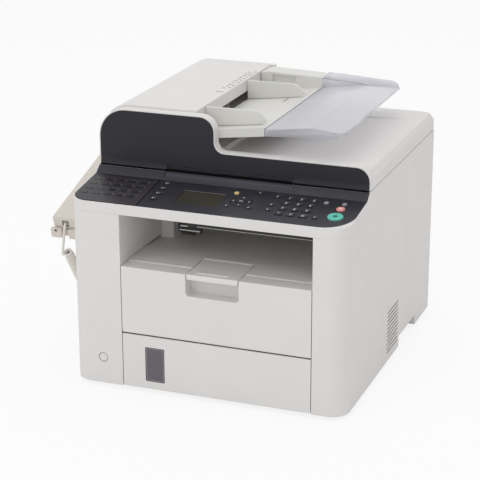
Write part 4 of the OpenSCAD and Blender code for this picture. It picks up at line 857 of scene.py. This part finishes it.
bm = bmesh.new()
strip(bm, PANEL_LEFT, GRIP[0], PANEL_KNEE + 0.05, PANEL_D, 0)
strip(bm, GRIP[1], PANEL_RIGHT, PANEL_KNEE + 0.05, PANEL_D, 0)
strip(bm, GRIP[0] - 0.2, GRIP[1] + 0.2, PANEL_KNEE + 0.05, PANEL_KNEE + 3.6, 0)
piece("panel_strip", bm, PANEL, "chassis", bevel=0.4)
# Grip floor in the lighter grey: painted light in the shaded recess
bm = bmesh.new()
strip(bm, GRIP[0] - 0.1, GRIP[1] + 0.1, PANEL_KNEE + 3.4, PANEL_D, 2.0, 1.4)
box(bm, (GRIP[0], PANEL_D - 0.3, SCANNER_TOP - 6), (GRIP[1], PANEL_D + 0.2, SCANNER_TOP - 0.4))
piece("grip_floor", bm, GRIP_LIT_GREY, "chassis")
# Black strip in the gap between the panel's top strip and the lid: painted shade
boxes("lid_gap_shade", GAP_SHADE, "chassis", [((PANEL_LEFT + 1, PANEL_D - 0.3, SCANNER_TOP - 0.5),
                                      (PANEL_RIGHT - 1, FRONT_WALL_Y1, SCANNER_TOP + 0.25))])
bm = bmesh.new()
strip(bm, GRIP[0] + 2, GRIP[1] - 2, PANEL_KNEE + 6.4, PANEL_KNEE + 7.6, 1.7, 1.0)
piece("grip_line", bm, LEDGE, "chassis", bevel=0.2)

# ---------------- feeder front
LID_IN = 0.8
FACE_RIM = 1.8
FACE_TOP = 361.0
FACE_LOW = 313.0
FACE_W = 171.5
FLARE_Z = 291.0
FACE_Y = 101.4


def face_outline(inset, bottom):
    """Front view of the feeder's face, drawn in by inset."""
    tall, shoulder, hollow, low = 40 - inset, 22 - inset, 13 + inset, 20 - inset
    x0 = LID_IN + inset
    x1 = BODY_W - LID_IN - inset
    fx = FACE_W - inset
    top = FACE_TOP - inset
    edge = FACE_LOW - inset
    ring = [(x0, bottom)]
    ring += arc(x0 + tall, top - tall, tall, 180, 90, 16)
    ring += arc(fx - shoulder, top - shoulder, shoulder, 90, 0, 12)
    ring += arc(fx + hollow, edge + hollow, hollow, 180, 270, 10)
    ring += arc(x1 - low, edge - low, low, 90, 0, 12)
    ring.append((x1, bottom))
    return ring


grip_top = LID_Z0 + GRIP_H
bottom = LID_Z0 + 0.8
ring = face_outline(FACE_RIM, bottom)
corner = GRIP_CORNER
ring += [(GRIP[1], bottom)] + arc(GRIP[1] - corner, grip_top - corner, corner, 0, 90, 6)
ring += arc(GRIP[0] + corner, grip_top - corner, corner, 90, 180, 6) + [(GRIP[0], bottom)]
face = flat_plate(ring, [], 1.0, 0.4)
# Cut across the foot, which then flares forwards
for z in range(283, 292):
    bmesh.ops.bisect_plane(face, geom=face.verts[:] + face.edges[:] + face.faces[:],
                           plane_co=(0, z, 0), plane_no=(0, 1, 0))
face.transform(Matrix.Translation((0, FACE_Y, 0)) @ Matrix.Rotation(math.pi / 2, 4, "X"))
for part in face.faces:
    part.smooth = part.smooth or part.calc_center_median().z < FLARE_Z
for vert in face.verts:
    if vert.co.z < FLARE_Z:
        vert.co.y -= (FACE_Y - 0.4 - FEEDER_Y) * ((FLARE_Z - vert.co.z) / (FLARE_Z - bottom)) ** 2
piece("feeder_face", face, BLACK, "scanner_lid", replaces=("feeder_front",), plate=True)

# Dark foot of the face: a black strip in the gap under it, painted shade; and the grip's lining behind it,
# in a lighter grey that is painted light
wall = FRONT_WALL_Y0
boxes("face_foot_shade", GAP_SHADE, "scanner_lid", [
    ((PANEL_LEFT + 2, FACE_Y - 0.6, LID_Z0 + 0.1), (PANEL_RIGHT - 2, wall + 0.6, LID_Z0 + 1.5))])
boxes("grip_lining", GRIP_LIT_GREY, "scanner_lid", [
    ((GRIP[0] + 0.3, wall + 3.6, LID_Z0 + 0.2), (GRIP[1] - 0.3, wall + 4.9, grip_top - 0.2)),
    ((GRIP[0] + 0.1, wall - 0.2, grip_top - 1.0), (GRIP[1] - 0.1, wall + 4.9, grip_top - 0.15))] + [
    ((x, wall - 0.2, bottom + 0.2), (x + 1, wall + 4.9, grip_top - 0.5))
    for x in (GRIP[0] + 0.1, GRIP[1] - 1.1)])
boxes("grip_ledges", LEDGE, "scanner_lid", [
    ((GRIP[0] + 1.2, wall + 0.2, LID_Z0 + 4.6), (GRIP[1] - 1.2, wall + 4, LID_Z0 + 5.7)),
    ((GRIP[0] + 1.2, wall + 1.6, LID_Z0 + 1.6), (GRIP[1] - 1.2, wall + 4, LID_Z0 + 2.6))], bevel=0.3)

# ---------------- clear tray extension
EXT_X0, EXT_X1 = 236.0, 347.0
EXT_Y0, EXT_Y1 = FRONT_WALL_Y1 + 1, 401.0
EXT_Z = 346.5
EXT_RISE = 0.121
EXT_KNEE = 64.0
EXT_FALL = 4.0
EXT_T = 2.4
KNEE_STEP = 1.5
REAR_BLOCK_Y = 367.0
FEEDER_TOP = 364.0


def sheet_z(x):
    """Height of the extension's upper face: it rises as the tray does, then bends down."""
    knee = min(x - EXT_X0, EXT_KNEE)
    past = max(0, x - EXT_X0 - EXT_KNEE)
    return EXT_Z + EXT_RISE * knee - EXT_FALL * past / (EXT_X1 - EXT_X0 - EXT_KNEE)


def wedge(bm, sections):
    """Solid between closed sections that have the same count of points."""
    loft(bm, [[Vector(p) for p in section] for section in sections])


ring = [(EXT_X0, EXT_Y1), (EXT_X0, EXT_Y0), (EXT_X1 - 10, EXT_Y0)]
ring += arc(EXT_X1 - 10, EXT_Y0 + 10, 10, 270, 360, 8) + arc(EXT_X1 - 14, EXT_Y1 - 14, 14, 0, 90, 10)
ext = flat_plate(ring, [], EXT_T, 0.9)
# Cut across at the knee, where the bend is rounded
steps = [KNEE_STEP * k for k in range(-4, 5)]
for x in [EXT_X0 + EXT_KNEE + step for step in steps]:
    bmesh.ops.bisect_plane(ext, geom=ext.verts[:] + ext.edges[:] + ext.faces[:],
                           plane_co=(x, 0, 0), plane_no=(1, 0, 0))
for vert in ext.verts:
    soft = sum(sheet_z(vert.co.x + step) for step in steps) / len(steps)
    vert.co.z += soft if abs(vert.co.x - EXT_X0 - EXT_KNEE) < 8 else sheet_z(vert.co.x)
for part in ext.faces:
    part.smooth = True
piece("extension_sheet", ext, CLEAR, "scanner_lid", replaces=("tray_extension",))

# Raised ledge at the rear. Each section: distance along x, front edge's y, front and rear heights of the
# top, how far the rear is drawn in
LEDGE_AT = ((0.1, 367, 361.0, 362.4, 0), (20, 367.6, 359.6, 361.6, 0), (42, 368.6, 358.0, 360.4, 0),
            (58, 369.6, 356.9, 359.6, 0), (64, 370, 356.2, 359.2, 0), (72, 373, 354.2, 358.8, 0),
            (84, 378, 352.8, 358.2, 0), (96, 382, 351.6, 357.6, 0.1), (101, 384, 351.1, 356.8, 1.2),
            (105, 385.5, 350.7, 355.0, 3.4), (108, 387, 350.4, 352.6, 6.4), (110.4, 389, 350.2, 350.6, 10.8))
bm = bmesh.new()
wedge(bm, [[(EXT_X0 + x, y, sheet_z(EXT_X0 + x) - 0.8),
            (EXT_X0 + x, EXT_Y1 - rear, sheet_z(EXT_X0 + x) - 0.8),
            (EXT_X0 + x, EXT_Y1 - rear, z1), (EXT_X0 + x, y, z0)] for x, y, z0, z1, rear in LEDGE_AT])
piece("extension_ledge", bm, CLEAR, "scanner_lid", bevel=0.35)
# Lip: distance along x, how far it is set back, and the height of its lower edge
LIP_AT = [(x, 0, EXT_Z - 9 + 0.06 * x) for x in (0.1, 20, 40, 60, 68, 84, 99)]
LIP_AT += [(102.5, 0.2, 345.0), (105.5, 1.2, 347.4), (107.8, 2.6, 348.8)]
bm = bmesh.new()
wedge(bm, [[(EXT_X0 + x, EXT_Y0 + 0.2 + back, low), (EXT_X0 + x, EXT_Y0 + 2.2 + back, low),
            (EXT_X0 + x, EXT_Y0 + 2.6 + back, sheet_z(EXT_X0 + x) - 0.5),
            (EXT_X0 + x, EXT_Y0 + 0.2 + back, sheet_z(EXT_X0 + x) - 0.5)] for x, back, low in LIP_AT])
piece("extension_lip", bm, CLEAR, "scanner_lid", bevel=0.4)
bm = bmesh.new()
wedge(bm, [[(EXT_X0 + x, EXT_Y0 - 0.5 + back, low - 0.3), (EXT_X0 + x, EXT_Y0 + 1.2 + back, low - 0.3),
            (EXT_X0 + x, EXT_Y0 + 1.2 + back, low + 1.1), (EXT_X0 + x, EXT_Y0 - 0.5 + back, low + 1.1)]
           for x, back, low in LIP_AT])
piece("extension_lip_bead", bm, CLEAR, "scanner_lid", bevel=0.4)
boxes("extension_joint", CLEAR, "scanner_lid",
      [((EXT_X0 - 1.1, EXT_Y0, EXT_Z - 9), (EXT_X0 + 0.1, REAR_BLOCK_Y, EXT_Z + 0.3))], bevel=0.4)

# Painted shade along the edges where the clear plastic looks darker: the joint, the ledge's front edge and
# the lip
bm = bmesh.new()
box(bm, (EXT_X0 - 0.5, EXT_Y0 + 0.4, EXT_Z + 0.1), (EXT_X0 + 0.3, REAR_BLOCK_Y - 0.2, EXT_Z + 0.5))
wedge(bm, [[(EXT_X0 + x, y - 0.35, z - 0.5), (EXT_X0 + x, y + 0.5, z - 0.4), (EXT_X0 + x, y + 0.5, z + 0.3),
            (EXT_X0 + x, y - 0.35, z + 0.2)] for x, y, z, high, rear in LEDGE_AT[:5]])
wedge(bm, [[(EXT_X0 + x, EXT_Y0 - 0.1 + back, low + 1.9), (EXT_X0 + x, EXT_Y0 + 0.5 + back, low + 1.9),
            (EXT_X0 + x, EXT_Y0 + 0.5 + back, low + 2.6), (EXT_X0 + x, EXT_Y0 - 0.1 + back, low + 2.6)]
           for x, back, low in LIP_AT[:7]])
piece("extension_edge_shade", bm, CLEAR_EDGE_SHADE, "scanner_lid", bevel=0.15)

# ---------------- marks on the feeder cover
ticks = []
for k in range(10):
    y = 248 + 11.5 * k
    ticks.append((125 + 1.2 * (k % 2), y, 129.8 + 1.2 * (k % 3), y + 2.2))
    ticks.append((133.4, y + 4.2, 137 + 0.8 * (k % 2), y + 6.4))
ticks.append((123.5, 226, 135.5, 227.8))
boxes("cover_marks", PRINT_DARK, "feeder_cover",
      [((x0, y0, FEEDER_TOP - 0.04), (x1, y1, FEEDER_TOP + 0.06)) for x0, y0, x1, y1 in ticks])

# ---------------- output bay
STOP_X0, STOP_X1 = 169.4, 242.0
SIDE_TOP = 245.0
BAY_X1 = 343.7
boxes("cover_beads", WHITE, "front_cover", [
    ((75.4, 25.0, COVER_TOP - 0.4), (STOP_X0 - 1.2, 26.9, COVER_TOP + 0.75)),
    ((STOP_X1 + 1.2, 25.0, COVER_TOP - 0.4), (343.1, 26.9, COVER_TOP + 0.75))], bevel=0.5)
boxes("stop_ridges", WHITE, "paper_stop", [
    ((STOP_X0 + 1.2, 62.4, COVER_TOP - 0.2), (STOP_X1 - 1.2, 64.6, COVER_TOP + 1.1)),
    ((STOP_X0 + 11.5, 8.2, COVER_TOP - 0.2), (STOP_X0 + 57.5, 12.6, COVER_TOP + 1.5))], bevel=0.6)
# Dark bars under the housing's edge over the bay: painted shade of its underside
boxes("bay_rail_shade", BAY_DARK, "chassis", [
    ((157, 36, 228.6), (BAY_X1, 39, SIDE_TOP + 0.2)),
    ((157, 39, 225.4), (BAY_X1, 41.6, SIDE_TOP + 0.2))], bevel=0.4)
boxes("bay_rail_edge", BAY_GREY, "chassis", [((170, 38.4, 226.9), (BAY_X1, 39.2, 227.6))], bevel=0.2)
boxes("bay_bracket", BAY_DARK, "chassis", [
    ((122, 88, 199.8), (156, 93, SIDE_TOP + 0.2)), ((127, 86.4, 196.8), (147, 91, 200.4)),
    ((125, 86.4, 209.4), (156, 89, SIDE_TOP))], bevel=0.6)
boxes("bay_bracket_edges", BAY_GREY, "chassis", [
    ((123.5, 87.2, 202.2), (154.5, 88.3, 203.6)), ((126.5, 85.6, 208.6), (154.0, 86.6, 210.2))], bevel=0.2)

# ---------------- seams
FRONT_GAPS_X = (74.58, 343.42)


def seam_ring(bm, z, height, y_front, inset, x_left, x_right, radius):
    """Dark strip just inside the outline of the body, painted shade in the seam, open across the front of
    the bay.
    """
    x0, x1, y0, y1 = inset, BODY_W - inset, y_front + inset, BODY_D - inset
    r = radius - inset
    path = [(x_right, y0)] + arc(x1 - r, y0 + r, r, 270, 360, 12) + arc(x1 - r, y1 - r, r, 0, 90, 12)
    path += arc(x0 + r, y1 - r, r, 90, 180, 12) + arc(x0 + r, y0 + r, r, 180, 270, 12) + [(x_left, y0)]
    rings = []
    for i, (x, y) in enumerate(path):
        px, py = path[max(i - 1, 0)]
        qx, qy = path[min(i + 1, len(path) - 1)]
        along = Vector((qx - px, qy - py, 0)).normalized()
        inward = Vector((-along.y, along.x, 0)) * 1.6
        low, high = Vector((x, y, z - height / 2)), Vector((x, y, z + height / 2))
        rings.append([low, low + inward, high + inward, high])
    loft(bm, rings)


# Black strips in the seam round the body and in the front cover's side gaps: painted shade
bm = bmesh.new()
seam_ring(bm, SIDE_TOP + 0.1, 1.1, 0.0, 0.3, 74.0, 344.5, 25.0)
for x in FRONT_GAPS_X:
    box(bm, (x, 0.9, 6), (x + 0.5, 4, 172))
piece("side_seam_shade", bm, GAP_SHADE, "chassis")

# Ring round the power button
POWER_AT = (45.7, 37.8)
ring_at = Matrix.Translation((POWER_AT[0], 0, POWER_AT[1])) @ Matrix.Rotation(math.pi / 2, 4, "X")
bm = bmesh.new()
rings = [[ring_at @ p for p in circle(r, z, 48)]
         for r, z in ((6.3, -0.6), (6.3, 0.12), (6.5, 0.16), (6.9, 0.12), (7.0, 0.02), (7.0, -0.6))]
loft(bm, rings + [rings[0]], False, False)
bmesh.ops.remove_doubles(bm, verts=bm.verts, dist=0.001)
piece("button_ring", bm, RING_GREY, "chassis")

# Frame of the level window in the cassette, and the lighter rim inside it, which is a painted highlight
WINDOW_BOX = (108.5, 135.9, 12.0, 61.3)
WINDOW_Y = 0.5
wx, wz = (WINDOW_BOX[0] + WINDOW_BOX[1]) / 2, (WINDOW_BOX[2] + WINDOW_BOX[3]) / 2
ww, wh = WINDOW_BOX[1] - WINDOW_BOX[0], WINDOW_BOX[3] - WINDOW_BOX[2]
window_at = Matrix.Translation((wx, WINDOW_Y, wz)) @ Matrix.Rotation(math.pi / 2, 4, "X")
for name, material, out, size, hole in (
        ("window_frame", DARK, 0.45, (ww + 0.6, wh + 0.6, 2.6), (ww - 1.6, wh - 1.6, 1.6)),
        # The lighter rim is a painted highlight
        ("window_highlight_rim", WINDOW_HIGHLIGHT, 0.3, (ww - 1.5, wh - 1.5, 1.7), (ww - 4.2, wh - 4.2, 1.2))):
    ring = flat_plate(round_rect(*size), [round_rect(*hole)[::-1]], 0.8, 0.2)
    ring.transform(window_at @ Matrix.Translation((0, 0, out)))
    piece(name, ring, material, BODY_OF["cassette_window"], plate=True)

# ---------------- handset
HX0, HX1 = -60.0, -12.0
HANDSET_L, HANDSET_H = 196.0, 21.0
POD = 46.0
JACK = (HX0 + 20, 9.4, 10.4)


def make_handset():
    """Round-edged body, hollow between its two pods, with its jack and the pods' sound holes cut in."""
    bm = bmesh.new()
    middle = (HX0 + HX1) / 2
    stations = [(0, 2.6), (0.5, 1.5), (1.4, 0.6), (3, 0.1), (5, 0), (POD - 5, 0), (POD - 3, 0), (POD, 0),
                (POD + 3, 0), (POD + 8, 0)]
    stations += [(HANDSET_L - y, inset) for y, inset in reversed(stations)]
    rings = []
    for y, inset in stations:
        edge = min(y, HANDSET_L - y)
        share = min(1, max(0, (edge - POD + 5) / 10))
        under = 7 * share * share * (3 - 2 * share)
        w = HX1 - HX0 - 2 * inset
        h = HANDSET_H - under - 2 * inset
        mid = under + inset + h / 2
        rings.append([Vector((middle + x, y, mid + z)) for x, z in round_rect(w, h, 5.5 - inset * 0.8, 5)])
    loft(bm, rings)
    cutter = bmesh.new()
    x, z, w = JACK
    box(cutter, (x - w / 2, -2, z - w / 2), (x + w / 2, 16, z + w / 2))
    for y in (20, HANDSET_L - 22):
        for k in range(6):
            a = math.radians(60 * k)
            place = Matrix.Translation((middle + 5 * math.cos(a), y + 5 * math.sin(a), 0))
            bmesh.ops.create_cone(cutter, cap_ends=True, segments=12, radius1=1, radius2=1, depth=5,
                                  matrix=place)
    bm = carved(bm, cutter)
    bm.transform(CRADLE)
    piece("handset_shell", bm, BEIGE, "handset", replaces=("handset",))


make_handset()
# Eye at the cradle's foot with a dark disc for its hole, and a dark lining in the handset's jack: both
# painted shade
hook_turn = Matrix.Translation((-53.4, 66.0, 187.9)) @ Matrix.Rotation(math.radians(106), 4, "X")
for name, material, radius, out in (("cradle_eye", BEIGE, 3.0, 0.5), ("cradle_eye_hole_shade", DARK, 1.9, 0.75)):
    bm = bmesh.new()
    bmesh.ops.create_cone(bm, cap_ends=True, segments=28, radius1=radius, radius2=radius, depth=2,
                          matrix=hook_turn @ Matrix.Translation((0, 0, out - 1)))
    piece(name, bm, material, "chassis", bevel=0.2)
bm = bmesh.new()
x, z, w = JACK
box(bm, (x - w / 2 + 0.05, 7, z - w / 2 + 0.05), (x + w / 2 - 0.05, 15.9, z + w / 2 - 0.05), CRADLE)
piece("jack_shade", bm, GAP_SHADE, "handset")


# ---------------- floor, light
FLOOR_WHITE = 0.96
AMBIENT = 0.62


def make_floor():
    bm = bmesh.new()
    bmesh.ops.create_grid(bm, x_segments=1, y_segments=1, size=6)
    mesh = bpy.data.meshes.new("floor")
    bm.to_mesh(mesh)
    bm.free()
    n = Nodes("floor_white")
    n.set(Base_Color=(FLOOR_WHITE, FLOOR_WHITE, FLOOR_WHITE, 1), Roughness=0.9, Specular_IOR_Level=0.0)
    path = n.tree.nodes.new("ShaderNodeLightPath")
    glow = n.tree.nodes.new("ShaderNodeEmission")
    mix = n.tree.nodes.new("ShaderNodeMixShader")
    share = n.tree.nodes.new("ShaderNodeMath")
    share.operation = "MULTIPLY"
    share.inputs[1].default_value = 0.85
    n.tree.links.new(path.outputs["Is Camera Ray"], share.inputs[0])
    n.tree.links.new(share.outputs[0], mix.inputs["Fac"])
    n.tree.links.new(n.shader.outputs[0], mix.inputs[1])
    n.tree.links.new(glow.outputs[0], mix.inputs[2])
    n.tree.links.new(mix.outputs[0], n.tree.nodes["Material Output"].inputs["Surface"])
    link("floor", mesh, n.material)


def make_world():
    world = bpy.data.worlds.new("world")
    bpy.context.scene.world = world
    world.use_nodes = True
    tree = world.node_tree
    tree.nodes.clear()
    path = tree.nodes.new("ShaderNodeLightPath")
    most = None
    for name in ("Is Camera Ray", "Is Glossy Ray", "Is Transmission Ray"):
        if most is None:
            most = path.outputs[name]
            continue
        larger = tree.nodes.new("ShaderNodeMath")
        larger.operation = "MAXIMUM"
        tree.links.new(most, larger.inputs[0])
        tree.links.new(path.outputs[name], larger.inputs[1])
        most = larger.outputs[0]
    ambient = tree.nodes.new("ShaderNodeBackground")
    ambient.inputs["Color"].default_value = (1, 1, 1, 1)
    ambient.inputs["Strength"].default_value = AMBIENT
    seen = tree.nodes.new("ShaderNodeBackground")
    seen.inputs["Color"].default_value = (1, 1, 1, 1)
    seen.inputs["Strength"].default_value = 1.0
    mix = tree.nodes.new("ShaderNodeMixShader")
    tree.links.new(most, mix.inputs["Fac"])
    tree.links.new(ambient.outputs[0], mix.inputs[1])
    tree.links.new(seen.outputs[0], mix.inputs[2])
    output = tree.nodes.new("ShaderNodeOutputWorld")
    tree.links.new(mix.outputs[0], output.inputs["Surface"])


def make_lamp(name, place, target, size, power):
    data = bpy.data.lights.new(name, "AREA")
    data.size = size
    data.energy = power
    lamp = bpy.data.objects.new(name, data)
    bpy.context.collection.objects.link(lamp)
    lamp.location = place
    lamp.rotation_euler = (Vector(target) - Vector(place)).to_track_quat("-Z", "Y").to_euler()


make_floor()
make_world()
make_lamp("key_lamp", (-1.6, -2.4, 2.6), (0, 0, 0.15), 2.2, 17)
make_lamp("front_lamp", (0.5, -3.2, 1.1), (0, 0, 0.2), 1.6, 7)
make_lamp("top_lamp", (0.3, 0.6, 3.0), (0, 0, 0.2), 2.6, 18)
bpy.context.scene.view_settings.view_transform = "Standard"
